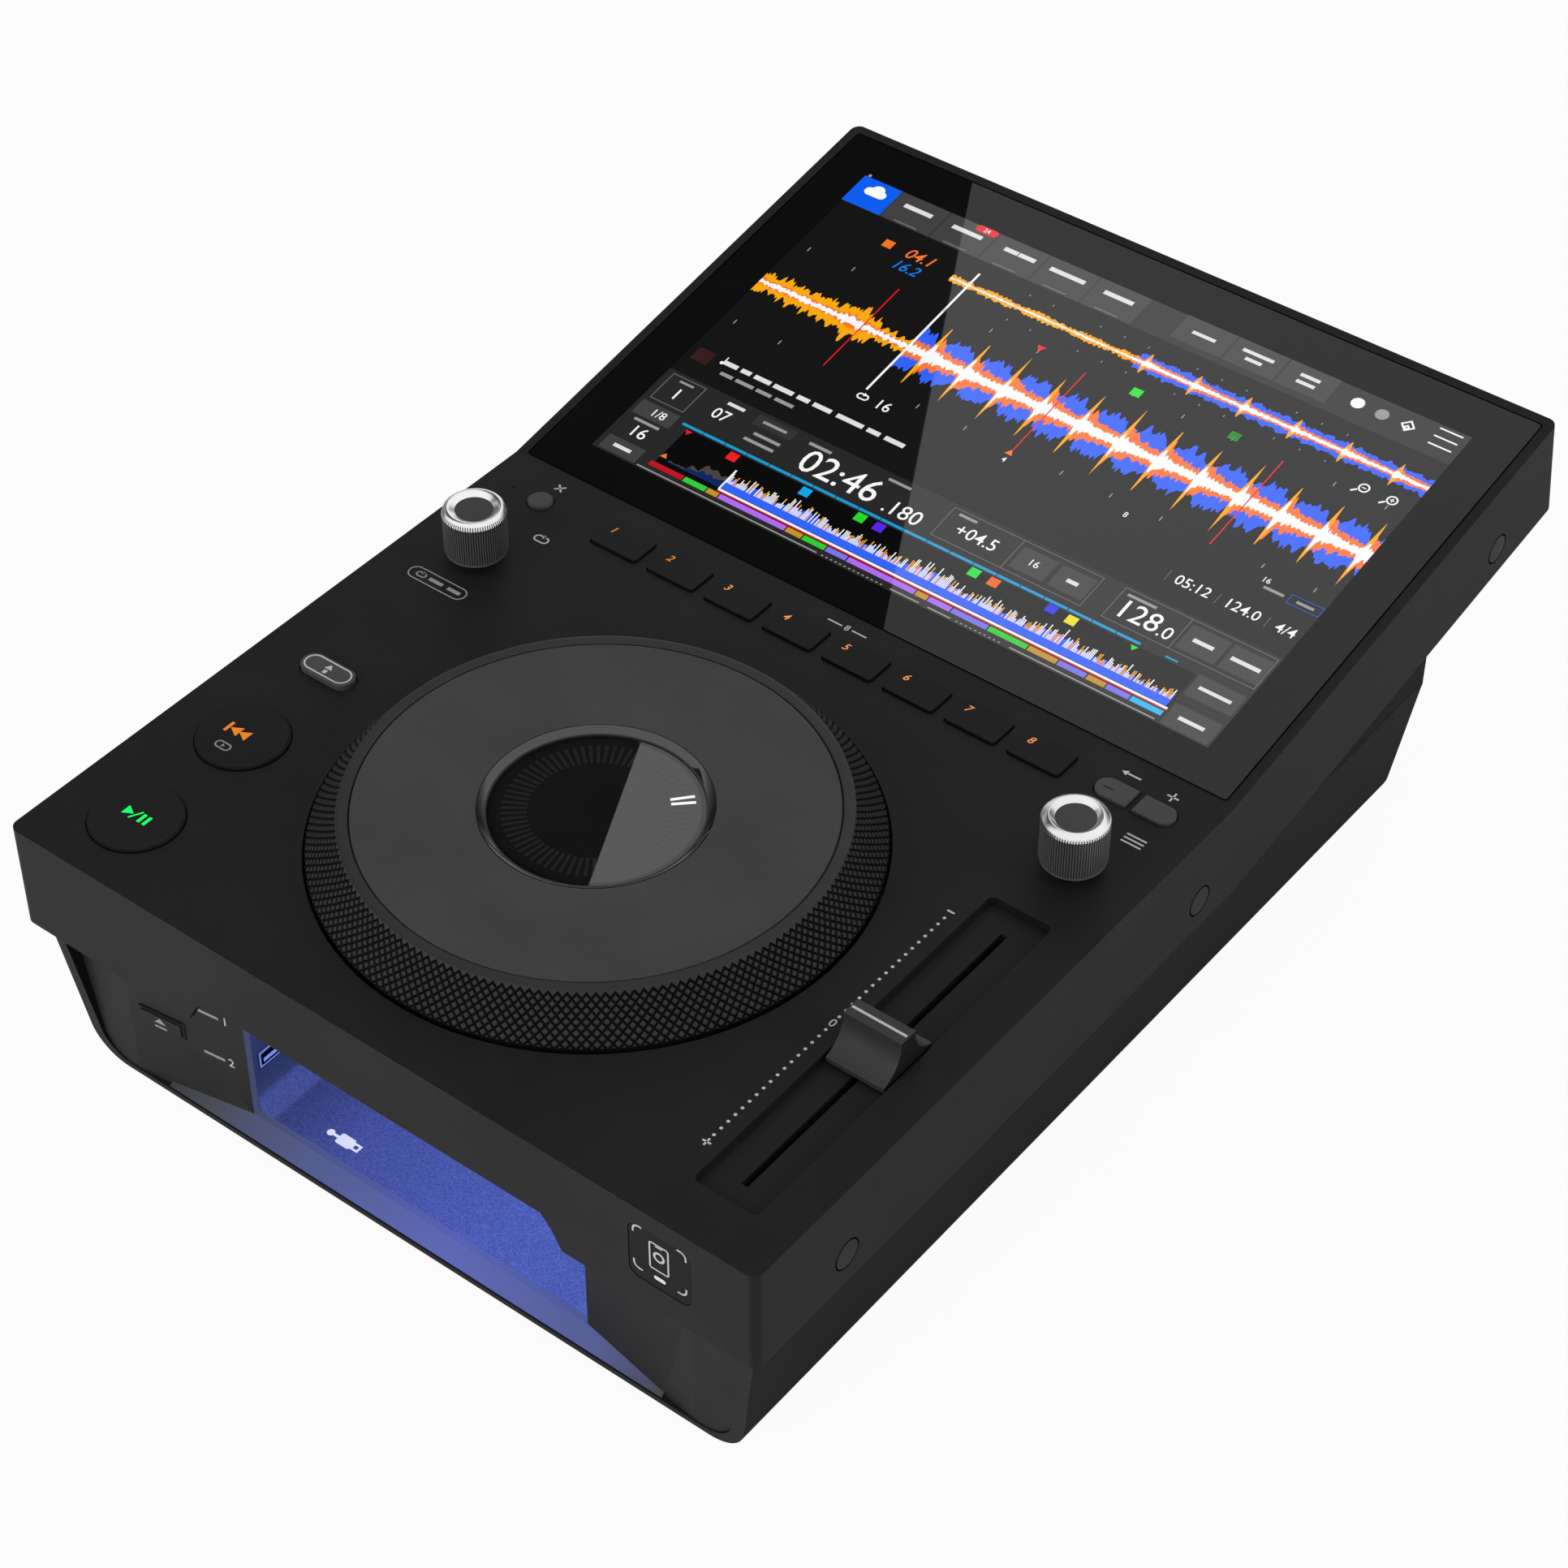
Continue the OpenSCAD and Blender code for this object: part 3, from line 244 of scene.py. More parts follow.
# Knob caps: dark spun aluminium
knob_dark = moulded("aluminium_spun_knob_cap", "#343434", "#404040", 0.4, 0.4, 0.5, 0.01, metal=0.4)
# Fader cap: moulded ABS, satin grey
fader_abs = moulded("abs_satin_fader_cap", "#2c2c2c", "#323232", 0.42, 0.25, 0.5, 0.01)
# Rubber feet: dull black, slightly dusty
rubber = moulded("rubber_moulded_foot", "#141414", "#1e1e1e", 0.8, 0.15, 0.8, 0.05)
# Nickel-plated steel shells and screws
nickel = moulded("steel_nickel_plated", "#9a9a9a", "#b8b8b8", 0.3, 0.5, 0.5, 0.01, metal=1.0)
# Machined steel inner parts
steel = moulded("steel_machined", "#7a7a7a", "#8c8c8c", 0.38, 0.5, 0.5, 0.01, metal=1.0)
# Circuit board: green solder mask
board_green = moulded("circuit_board_solder_mask", "#0e3a20", "#145030", 0.35, 0.5, 4, 0.02)
# Acetal bush: waxy off-white
acetal = moulded("acetal_turned_bush", "#c8c4b8", "#d4d0c6", 0.4, 0.4, 1.0, 0.01)
# Nylon connector bodies and inner mouldings
nylon = moulded("nylon_moulded_connector", "#1a1a1a", "#222222", 0.45, 0.4, 0.8, 0.02)
# Silkscreen inks
ink_white = inked("ink_white", "#b4b4b4", "#c4c4c4")
ink_grey = inked("ink_grey", "#8c8c8c", "#9a9a9a")
# Near-black ink: real print on the back key's dash and the pilot window, and painted shade on the sides of the
# play, cue and pad keys and between the back and tag keys
black_print_and_painted_shade = inked("ink_black_and_painted_shade", "#060606", "#0a0a0a")

# Painted light on the bay's floor: dark beside the opening, lighter on the left wall and brightest in the
# middle
FLOOR_PAINTED_LIGHT = [
    (0.2062, "#222b46"), (0.2075, "#424f93"), (0.232, "#424f93"), (0.2355, "#343d76"),
    (0.35, "#44519e"), (0.6, "#4f5fb8")]
# Painted light on the ledge: black at its ends, glowing blue in between
LEDGE_PAINTED_LIGHT = [
    (0.03, "#1c1c1d"), (0.13, "#3c3e48"), (0.3, "#485284"), (0.57, "#5461b1"),
    (0.82, "#4d558e"), (0.93, "#3a3c46"), (0.985, "#101011")]
# Painted shade on the bay's left wall: a little darker partway up
WALL_PAINTED_SHADE = [(0.31, "#ffffff"), (0.45, "#e6e6ea"), (0.85, "#ffffff")]
EVEN = [(0.0, "#ffffff"), (1.0, "#ffffff")]
# Blue acrylic liner that glows with painted light, standing in for the bay's diodes
bay_painted_glow = glowing("acrylic_blue_bay_painted_glow", FLOOR_PAINTED_LIGHT, WALL_PAINTED_SHADE, "#10142c", 0.72, 1.25)
# Satin ABS of the ledge in front of the bay, with the bay's light painted on as a glow
ledge_painted_glow = glowing("abs_satin_ledge_painted_glow", LEDGE_PAINTED_LIGHT, EVEN, "#1b1b1b", 0.94, 1.06)


# ---- Modelling helpers ----

def pick(*objects):
    """Deselects everything, then selects these objects."""
    bpy.ops.object.select_all(action="DESELECT")
    for o in objects:
        o.select_set(True)
    bpy.context.view_layer.objects.active = objects[0]


def edit_all():
    """Enters edit mode with everything selected."""
    bpy.ops.object.mode_set(mode="EDIT")
    bpy.ops.mesh.select_all(action="SELECT")


def leave_edit():
    """Goes back to object mode and gives the object."""
    bpy.ops.object.mode_set(mode="OBJECT")
    return bpy.context.object


def done(obj, name, body, material, surface=None, lift=0.0):
    """Names a piece, lays it on its surface, gives it its material and lets it ride on its body."""
    obj.name = name
    obj.data.name = name
    if surface is not None:
        obj.data.transform(surface @ shift(0, 0, lift))
    slots = [polygon.material_index for polygon in obj.data.polygons]
    obj.data.materials.clear()
    for one in material if isinstance(material, tuple) else (material,):
        obj.data.materials.append(one)
    obj.data.polygons.foreach_set("material_index", slots)
    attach(obj, body)
    return obj


def mark(obj, test):
    """Gives the faces that pass the test the second material."""
    for polygon in obj.data.polygons:
        polygon.material_index = 1 if test(polygon) else 0
    return obj


def moved(shape, x=0.0, y=0.0, turn=0.0, wide=1.0, high=1.0):
    """Stretches, turns and moves a flat shape in its own mesh."""
    shape.data.transform(shift(x, y) @ turned(turn, "Z") @ Matrix.Diagonal((wide, high, 1, 1)))
    return shape


def joined(*objects):
    """Joins flat shapes into one."""
    if len(objects) == 1:
        return objects[0]
    pick(*objects)
    bpy.ops.object.join()
    return bpy.context.object


def stamp(shape, places):
    """Copies of one flat shape at (x, y, width, height, turn), joined; the first shape is used up."""
    made = []
    for place in places:
        x, y, wide, high = place[:4]
        copy = shape.copy()
        copy.data = shape.data.copy()
        bpy.context.scene.collection.objects.link(copy)
        moved(copy, x, y, place[4] if len(place) > 4 else 0, wide, high)
        made.append(copy)
    bpy.data.objects.remove(shape)
    return joined(*made)


def square():
    """A unit square, flat in X and Y."""
    bpy.ops.mesh.primitive_plane_add(size=1)
    return bpy.context.object


def disc(sides):
    """A disc one unit across."""
    bpy.ops.mesh.primitive_circle_add(vertices=sides, radius=0.5, fill_type="NGON")
    return bpy.context.object


def wedge():
    """A triangle one unit high that points to +X."""
    bpy.ops.mesh.primitive_circle_add(vertices=3, radius=0.5, fill_type="NGON", rotation=(0, 0, -QUARTER))
    bpy.ops.object.transform_apply(rotation=True)
    return bpy.context.object


def bar(x, y, wide, high, turn=0.0):
    """A flat bar, placed by its middle."""
    return moved(square(), x, y, turn, wide, high)


def bars(places):
    """Flat bars at (x, y, width, height, turn), joined."""
    return stamp(square(), places)


def dot(x, y, size, sides=24):
    """A flat disc."""
    return moved(disc(sides), x, y, 0, size, size)


def arrow(x, y, wide, high, turn=0.0):
    """A flat triangle that points to +X before its turn."""
    return moved(wedge(), x, y, turn, wide, high)


def pill(width, height, sides=10, radius=None):
    """A flat bar with round ends, or with corners of a radius."""
    bar(0, 0, width, height)
    edit_all()
    bpy.ops.mesh.bevel(offset=radius or height * 0.499, segments=sides, affect="VERTICES")
    return leave_edit()


def outline(shape, thickness):
    """Leaves only a rim of this thickness of a flat shape."""
    pick(shape)
    edit_all()
    bpy.ops.mesh.inset(thickness=thickness)
    bpy.ops.mesh.delete(type="FACE")
    return leave_edit()


def hoop(outer, inner, sides=48):
    """A flat ring."""
    bpy.ops.mesh.primitive_circle_add(vertices=sides, radius=outer, fill_type="NGON")
    return outline(bpy.context.object, outer - inner)


def spokes(radius, long, wide, degrees):
    """Bars that point away from the middle."""
    turns = [math.radians(angle) for angle in degrees]
    return bars([(radius * math.cos(a), radius * math.sin(a), long, wide, a) for a in turns])


def digits(words, size, x, y, weight=0.0, slant=0.0):
    """Plain figures as a flat mesh, placed by their middle."""
    bpy.ops.object.text_add()
    text = bpy.context.object
    text.data.body = words
    text.data.size = size
    text.data.align_x = "CENTER"
    text.data.align_y = "CENTER"
    text.data.offset = weight
    text.data.shear = slant
    text.data.resolution_u = 3
    bpy.ops.object.convert(target="MESH")
    return moved(bpy.context.object, x, y)


def merged(node, name):
    """A copy of a CAD node whose triangles are merged into plain faces."""
    piece = bpy.data.objects.new(name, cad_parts[node].data.copy())
    bpy.context.scene.collection.objects.link(piece)
    pick(piece)
    edit_all()
    bpy.ops.mesh.remove_doubles(threshold=0.000002)
    bpy.ops.mesh.dissolve_limited(angle_limit=math.radians(1))
    return leave_edit()


def stands_for(piece, node, body, material):
    """Shades a merged copy, with its flat faces kept flat, and puts it in the node's place."""
    bpy.ops.object.shade_smooth_by_angle(angle=math.radians(30))
    flat = piece.modifiers.new("flat_faces", "WEIGHTED_NORMAL")
    flat.keep_sharp = True
    flat.weight = 100
    bpy.ops.object.modifier_apply(modifier="flat_faces")
    done(piece, piece.name, body, material)
    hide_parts(node)
    return piece


def dressed(node, name, body, material, width, marks=None):
    """A merged copy of a CAD node with small rounds on its edges; marked faces take the second material."""
    piece = merged(node, name)
    round_off = piece.modifiers.new("edge_rounds", "BEVEL")
    round_off.width = width * MM
    round_off.segments = 2
    round_off.limit_method = "ANGLE"
    round_off.angle_limit = math.radians(35)
    bpy.ops.object.modifier_apply(modifier="edge_rounds")
    if marks:
        mark(piece, marks)
    return stands_for(piece, node, body, material)


def choose(obj, kind, test):
    """Selects only the faces or edges whose middle and corners pass the test; called in object mode."""
    pick(obj)
    bpy.ops.object.mode_set(mode="EDIT")
    bpy.ops.mesh.select_mode(type=kind)
    bpy.ops.mesh.select_all(action="DESELECT")
    bpy.ops.object.mode_set(mode="OBJECT")
    data = obj.data
    for part in data.edges if kind == "EDGE" else data.polygons:
        part.select = test(part, [data.vertices[i].co for i in part.vertices])
    bpy.ops.object.mode_set(mode="EDIT")


def keycap(node, name, body, material, width, sides=None, up=(0, 0, 1)):
    """A merged copy of a key with a rounded rim on its top; its sides may take a material of their own: on the
    play, cue and pad keys a painted shade.
    """
    piece = merged(node, name)
    up = Vector(up)
    top = max(v.co.dot(up) for v in piece.data.vertices)
    choose(piece, "EDGE", lambda edge, ends: all(v.dot(up) > top - 0.01 * MM for v in ends))
    bpy.ops.mesh.bevel(offset=width * MM, segments=3, affect="EDGES", clamp_overlap=True)
    leave_edit()
    mark(piece, lambda side: sides and abs(side.normal.dot(up)) < 0.3)
    return stands_for(piece, node, body, (material, sides or material))


def draw_ring(path):
    """Draws the selected ring of edges out through (radius, height) points, the first of which is its own."""
    for (r0, z0), (r1, z1) in zip(path, path[1:]):
        bpy.ops.mesh.extrude_edges_move(TRANSFORM_OT_translate={"value": (0, 0, z1 - z0)})
        bpy.ops.transform.resize(value=(r1 / r0, r1 / r0, 1), center_override=(0, 0, z1))


def closed_up():
    """Merges doubles, turns the faces outwards and leaves edit mode."""
    bpy.ops.mesh.select_all(action="SELECT")
    bpy.ops.mesh.remove_doubles(threshold=0.0005)
    bpy.ops.mesh.normals_make_consistent(inside=False)
    return leave_edit()


def lathe(path, sides):
    """Turns a profile of (radius, height) points: one ring drawn out through the rest."""
    first_r, first_z = path[0]
    bpy.ops.mesh.primitive_circle_add(vertices=sides, radius=first_r)
    edit_all()
    bpy.ops.transform.translate(value=(0, 0, first_z))
    draw_ring(path)
    return closed_up()


def smooth(obj, angle=30):
    """Smooth shading, with edges sharper than the angle kept."""
    pick(obj)
    bpy.ops.object.shade_smooth_by_angle(angle=math.radians(angle))
    return obj


# ---- Housing, and every CAD node that stays as it is ----

# The bay's ledge lies below this height; the bay's left wall is between these x
LEDGE_TOP = 9.5
WALL_X = (-62, -50)


def on_ledge(side):
    """Whether a face of the wings takes the bay's painted light: the ledge, or the left wing's side of the
    bay.
    """
    low = side.center.z < LEDGE_TOP * MM and side.normal.z > 0.5
    return low or side.normal.x > 0.7 and WALL_X[0] * MM < side.center.x < WALL_X[1] * MM


# The deck's front face takes the lighter copy of its ABS: painted light
dressed("upper_case", "deck_housing", "case", (abs_deck, abs_front_painted_light), 0.35,
        marks=lambda side: side.normal.y < -0.9 and side.center.y < (FRONT + 0.5) * MM)
# The base's left and right sides take the darker copy: painted shade
dressed("lower_case", "base_housing", "case", (abs_base, abs_base_side_painted_shade), 0.4,
        marks=lambda side: abs(side.normal.x) > 0.6 and abs(side.center.x) > 100 * MM)
# The plugs' rounded rims take the near-black copy: painted shade of the gap round each plug
dressed("side_plugs", "plug_caps", "case", (abs_front_painted_light, painted_gap_shade), 0.5,
        marks=lambda side: abs(side.normal.x) < 0.97)
wings = mark(merged("front_fascia", "bay_wings"), on_ledge)
stands_for(wings, "front_fascia", "case", (abs_fascia, ledge_painted_glow))
wing_out = (math.sin(WING_TURN), -math.cos(WING_TURN), 0)
keycap("eject_button", "eject_key", "eject", abs_fascia, 0.2, up=wing_out)

for material, nodes in (
        (abs_deck, ("touch_panel", "fader_tray")), (abs_base, ("jack_panel",)), (rubber, ("feet",)),
        (touch_glass, ("screen_glass",)), (lens_acrylic, ("jog_display", "jog_lens")),
        (bay_painted_glow, ("bay_liner",)), (acetal, ("jog_bush",)), (knob_dark, ("loop_knob_cap", "browse_knob_cap")),
        (steel, ("display_frame", "loop_shaft", "loop_plunger", "browse_shaft", "browse_plunger")),
        (nickel, ("case_screws", "usb_sockets", "encoders", "rear_sockets")),
        (board_green, ("front_boards", "bay_light_board", "main_board", "control_boards", "power_supply")),
        (nylon, ("display_panel", "jog_encoder_wheel", "jog_sensor", "jog_mount", "jog_hub",
                 "jog_display_cup", "fader_lever", "fader_unit", "tact_switches", "mains_inlet",
                 "power_button"))):
    for node in nodes:
        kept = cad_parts[node].data
        kept.materials.clear()
        kept.materials.append(material)


# ---- Jog wheel ----

# Facets round the grip ring; (radius, height) of its cone's foot and top
AROUND = 180
GRIP_LOW = (76.2, 0.5)
GRIP_TOP = (67.0, 12.0)
# Rows of diamonds and the height of each; width of a groove and how far a diamond stands proud
CELLS = 5
CELL_STEP = 2.2
GROOVE = 0.36
RAISE = 0.45
# Profiles from the cone's top over the lip, and from its foot round the bottom, to the same inner ring
LIP = [(67.1, 12.36), (66.7, 12.38), (64.5, 12.32), (64.25, 12.1), (64.25, 9.9)]
FOOT = [(75.6, 0.4), (75.6, -2.0), (74.0, -2.0), (64.25, 9.9)]
# The way the cone faces, outwards and up, and where its grooves end
CONE_OUT, CONE_UP = 0.781, 0.625
GROOVES_IN, GROOVES_TOP = 67.2, 12.1
# How near counts as on a level
NEAR = 0.02
# The window's wall in the top plate; the display's ticks and the bars of its marker
WINDOW = [
    (31.2, 12.38), (31.2, 11.4), (29.6, 10.4), (28.72, 10.4), (28.72, 10.53), (28.95, 10.6), (31.0, 12.3)]
TICKS = 70
MARKER = (49.1, 44.0)


def jog_grip():
    """Moulded grip ring: staggered diamonds round a cone, a plain lip above and the wall down inside."""
    low_r, low_z = GRIP_LOW
    top_r, top_z = GRIP_TOP
    lip_z = low_z + CELLS * CELL_STEP
    bpy.ops.mesh.primitive_cone_add(
        vertices=AROUND, radius1=low_r, radius2=top_r, depth=top_z - low_z, end_fill_type="NOTHING")
    grip = bpy.context.object
    edit_all()
    bpy.ops.transform.translate(value=(0, 0, (low_z + top_z) / 2))
    for cell in range(1, CELLS + 1):
        bpy.ops.mesh.select_all(action="SELECT")
        bpy.ops.mesh.bisect(plane_co=(0, 0, low_z + cell * CELL_STEP), plane_no=(0, 0, 1))
    leave_edit()
    choose(grip, "FACE", lambda side, corners: side.center.z < lip_z)
    bpy.ops.mesh.poke()
    leave_edit()

    def on_ring(z):
        return abs((z - low_z) / CELL_STEP - round((z - low_z) / CELL_STEP)) < 0.05

    def inner_seam(edge, ends):
        return all(on_ring(v.z) for v in ends) and max(v.z for v in ends) > low_z + 0.1

    choose(grip, "EDGE", inner_seam)
    bpy.ops.mesh.dissolve_edges(use_verts=False)
    leave_edit()
    choose(grip, "FACE", lambda side, corners: max(v.z for v in corners) < lip_z + 0.1)
    for proud in (RAISE, RAISE * 0.3):
        bpy.ops.mesh.inset(use_individual=True, use_even_offset=True, thickness=GROOVE, depth=proud)
    leave_edit()
    choose(grip, "FACE", lambda side, corners: max(v.z for v in corners) > top_z - 0.05)
    bpy.ops.mesh.inset(use_boundary=False, thickness=GROOVE, depth=RAISE)
    leave_edit()
    rim_z = max(v.co.z for v in grip.data.vertices)
    rim_r = min(v.co.xy.length for v in grip.data.vertices if v.co.z > rim_z - NEAR)
    choose(grip, "EDGE", lambda edge, ends: all(v.z > rim_z - NEAR for v in ends))
    draw_ring([(rim_r, rim_z)] + LIP)
    leave_edit()
    choose(grip, "EDGE", lambda edge, ends: all(
        v.z < low_z + NEAR and v.xy.length > low_r - 0.1 for v in ends))
    draw_ring([GRIP_LOW] + FOOT)
    return closed_up()


def in_groove(side):
    """Whether a face of the grip ring is the wall of a groove, or lies under its lower edge; these faces take
    the painted shade.
    """
    around = side.center.xy.normalized()
    facing = side.normal.dot(Vector((CONE_OUT * around.x, CONE_OUT * around.y, CONE_UP)))
    on_cone = GRIP_LOW[1] < side.center.z < GROOVES_TOP and side.center.xy.length > GROOVES_IN
    return on_cone and facing < 0.8 or side.center.z < GRIP_LOW[1]


grip_ring = mark(smooth(jog_grip(), 32), in_groove)
done(grip_ring, "jog_grip_ring", "jog_wheel", (ring_abs, ring_painted_groove_shade), jog)
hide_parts("jog_ring")

dressed("jog_plate", "jog_top_plate", "jog_top", plate_paint, 0.3)
done(smooth(lathe(WINDOW, 128)), "jog_window_wall", "jog_top", window_gloss, jog)
done(hoop(28.5, 27.4, 96), "jog_lens_border", "case", lens_border, lens, 0.02)
done(spokes(21.5, 6.9, 0.95, [360 / TICKS * i for i in range(TICKS)]), "jog_display_ticks", "case",
     lit("display_dim_ticks", "#222222", level=0.9), lens, 0.02)
done(spokes(22.75, 6.5, 0.95, MARKER), "jog_display_marker", "case",
     lit("display_white_marker", "#ffffff"), lens, 0.04)


# ---- Keys, knobs and fader ----

# The sides of these keys are painted near black: painted shade of the gap round each key
for key in ("play", "cue"):
    keycap(f"{key}_button", f"{key}_key", key, key_abs, 0.25, black_print_and_painted_shade)
for number in range(1, 9):
    keycap(f"pad_{number}", f"pad_key_{number}", f"pad_{number}_key", key_abs, 0.25,
           black_print_and_painted_shade)
for key, rim in (("shift", 0.7), ("delete", 0.3), ("back", 0.3), ("tag", 0.3)):
    keycap(f"{key}_button", f"{key}_key", key, key_grey, rim)

KNOB_RIDGES = 80
# Profiles of a knob below and above its foot height, and the two crowns
KNOB_SIDE = [(8.3, 2.8), (8.7, 2.8), (8.95, 3.1), (8.95, 3.8)]
KNOB_BORE = [(5.9, 14.6), (3.4, 14.6), (3.4, 3.6), (8.3, 3.6), (8.3, 2.8)]
BOWL = [(6.4, 17.62), (5.5, 17.06), (5.5, 17.03), (5.9, 17.03)]
ROUND_CROWN = [
    (8.85, 17.3), (8.7, 17.4), (8.78, 17.55), (8.5, 17.85), (8.2, 18.05), (7.75, 18.18), (7.35, 18.12),
    (6.95, 17.92)]
CONE_CROWN = [
    (9.0, 17.0), (8.72, 17.1), (8.8, 17.3), (8.1, 17.75), (7.45, 18.1), (7.15, 18.18), (6.95, 18.14),
    (6.75, 17.95)]
KNOB_Y = 159.8


def every_other(side):
    """Whether a facet of a knob is a ridge and not the gap beside it."""
    return math.floor(math.atan2(side.center.y, side.center.x) / math.pi * KNOB_RIDGES) % 2 == 0


def on_knurl(side):
    """Whether a facet of a knob belongs to its knurled side."""
    return 5 < side.center.z < 15 and side.center.xy.length > 8.8


def pushed(obj, test, depth):
    """Pushes the facets that pass the test out, or in."""
    choose(obj, "FACE", lambda side, corners: test(side))
    bpy.ops.mesh.inset(use_individual=True, thickness=0.04, depth=depth)
    leave_edit()


def knob_body(top):
    """Knurled side of an encoder knob: every other facet of a turned body stands proud, and the gaps between
    take a painted shade.
    """
    body = lathe(KNOB_SIDE + [(8.95, top), (8.6, top), (5.9, top)] + KNOB_BORE, 2 * KNOB_RIDGES)
    pushed(body, lambda side: on_knurl(side) and every_other(side), 0.24)
    mark(body, lambda side: on_knurl(side) and not every_other(side))
    return smooth(body, 25)


def knob_ring(crown, foot):
    """Polished ring on a knob: a toothed lower edge, its crown, and a bowl that leads down to the cap; the
    gaps between the teeth take a painted shade.
    """
    low = foot - 0.2
    ring = lathe([(8.6, low), (9.25, foot)] + crown + BOWL + [(5.9, low), (8.6, low)], 2 * KNOB_RIDGES)
    crown_z = crown[0][1]
    gap_z = (foot + crown_z) / 2

    def gap(side):
        return abs(side.center.z - gap_z) < 0.1 and side.center.xy.length > 8.7 and not every_other(side)

    def below_crown(side):
        low_side = foot < side.center.z < crown_z - NEAR
        return low_side and side.center.xy.length > 8.6 and not every_other(side)

    pushed(ring, gap, -0.2)
    return smooth(mark(ring, below_crown), 40)


for side, x, crown, foot in (("loop", -102.0, ROUND_CROWN, 16.1), ("browse", 103.6, CONE_CROWN, 16.35)):
    place = deck @ shift(x, KNOB_Y)
    body = f"{side}_turn"
    grip = done(knob_body(foot), f"{side}_knob_side", body, (anodised, anodised_painted_gap_shade), place)
    done(knob_ring(crown, foot), f"{side}_knob_ring", body, (polished, anodised), place)
    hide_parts(f"{side}_knob")

# The fader's cap in the middle of its travel, and the line on its ridge
FADER_X = 103.2
FADER_Y = 76.6
RIDGE_TOP = 10.03
# The cap's right side takes the darker key ABS: painted shade
dressed("fader_cap", "fader_grip", "fader", (fader_abs, key_abs), 0.25,
        marks=lambda side: side.normal.x > 0.7)
done(bar(FADER_X, FADER_Y, 16.8, 0.8), "fader_line", "fader", ink_white, deck, RIDGE_TOP)


# ---- Printed and lit marks: plain signs and figures ----

# How high each kind of mark lies over its surface
LIFT = 0.03
PLAY_TOP = 0.85
SHIFT_TOP = 1.63
PAD_TOP = 0.95
BACK_TOP = 0.83
WING_LIFT = 0.06
EJECT_TOP = 1.13
PANEL_LIFT = -0.11
JACK_END = 8.03
BAY_FLOOR = -78.44
# Rows and columns of marks
PLAY_SIGN_Y = 23.3
CUE_Y = 63.6
RELOOP_Y = 144.0
UPPER_Y = 197.9
PADS_MARK_Y = 199.3
SCALE_X = 88.8
SCALE_STEP = 2.77
PAD_X = -73
PAD_STEP = 20.84


def loop_sign(x, y, size, thick):
    """A flat loop with an arrow head, for repeating a stretch."""
    track = outline(pill(1.7 * size, size), thick)
    head = arrow(0.1 * size, size / 2 - thick / 2, 3.2 * thick, 3.6 * thick)
    return moved(joined(track, head), x, y)


def framed(x, y, width, height, thick):
    """A pill-shaped frame."""
    return moved(outline(pill(width, height), thick), x, y)


def boxed(x, y, width, height, thick):
    """A frame with square corners."""
    return moved(outline(bar(0, 0, width, height), thick), x, y)


play_sign = joined(
    arrow(-103.9, PLAY_SIGN_Y, 4.0, 4.0), bar(-101.1, PLAY_SIGN_Y, 4.4, 0.5, math.radians(62)),
    bar(-98.9, PLAY_SIGN_Y, 1.0, 3.4), bar(-97.0, PLAY_SIGN_Y, 1.0, 3.4))
done(play_sign, "play_sign", "play", lit("diode_green_sign", "#1fff6a", 1.2), deck, PLAY_TOP)
cue_sign = joined(
    arrow(-100.2, CUE_Y, 4.5, 4.5, math.pi), arrow(-103.3, CUE_Y, 4.5, 4.5, math.pi),
    bar(-106.2, CUE_Y, 1.0, 4.0))
done(cue_sign, "cue_sign", "cue", lit("diode_orange_sign", "#f08a2c", 1.0), deck, PLAY_TOP)
done(joined(framed(-102.1, 57.0, 5.3, 2.9, 0.5), arrow(-102.2, 57.0, 1.5, 1.5)),
     "cue_small_sign", "cue", ink_grey, deck, PLAY_TOP)
shift_arrow = joined(arrow(-100.6, 97.2, 2.6, 3.0, QUARTER), bar(-100.6, 95.3, 1.2, 1.4))
done(joined(framed(-100.6, 96.6, 16.0, 6.2, 0.5), shift_arrow),
     "shift_sign", "shift", ink_white, deck, SHIFT_TOP)
reloop = joined(framed(-103, RELOOP_Y, 20.8, 5.2, 0.4), loop_sign(-109, RELOOP_Y, 2.1, 0.45), bars([
    (-103.5, RELOOP_Y, 5.0, 1.3), (-96.9, RELOOP_Y, 4.6, 1.3)]))
done(reloop, "reloop_print", "case", ink_grey, deck, LIFT)

signs = bars(
    [(-103.5, UPPER_Y, 3.6, 0.6, turn) for turn in (math.pi / 4, -math.pi / 4)]
    + [(x, PADS_MARK_Y, 5.0, 0.5) for x in (-4.2, 4.2)]
    + [(97.2, UPPER_Y, 4.2, 0.6), (109.8, 197.4, 3.6, 0.6), (109.8, 197.4, 0.6, 3.6)]
    + [(111.0, 177.1 + d, 6.2, 0.6) for d in (-1.5, 0, 1.5)]
    + [(SCALE_X, 126.5, 2.3, 0.6), (SCALE_X, 26.7, 2.6, 0.55), (SCALE_X, 26.7, 0.55, 2.6)])
scale = stamp(disc(12), [
    (SCALE_X, FADER_Y + s * SCALE_STEP * i, 0.95, 0.95) for i in range(1, 18) for s in (-1, 1)])
done(joined(signs, scale, loop_sign(-92.6, 176.8, 3.0, 0.55), arrow(94.4, UPPER_Y, 2.4, 2.4, math.pi),
            digits("8", 3.2, 0, PADS_MARK_Y, weight=0.02), digits("0", 3.8, SCALE_X, FADER_Y, weight=0.02)),
     "deck_print", "case", ink_white, deck, LIFT)
pad_diode = lit("diode_pad_orange", "#f4933c", 0.95)
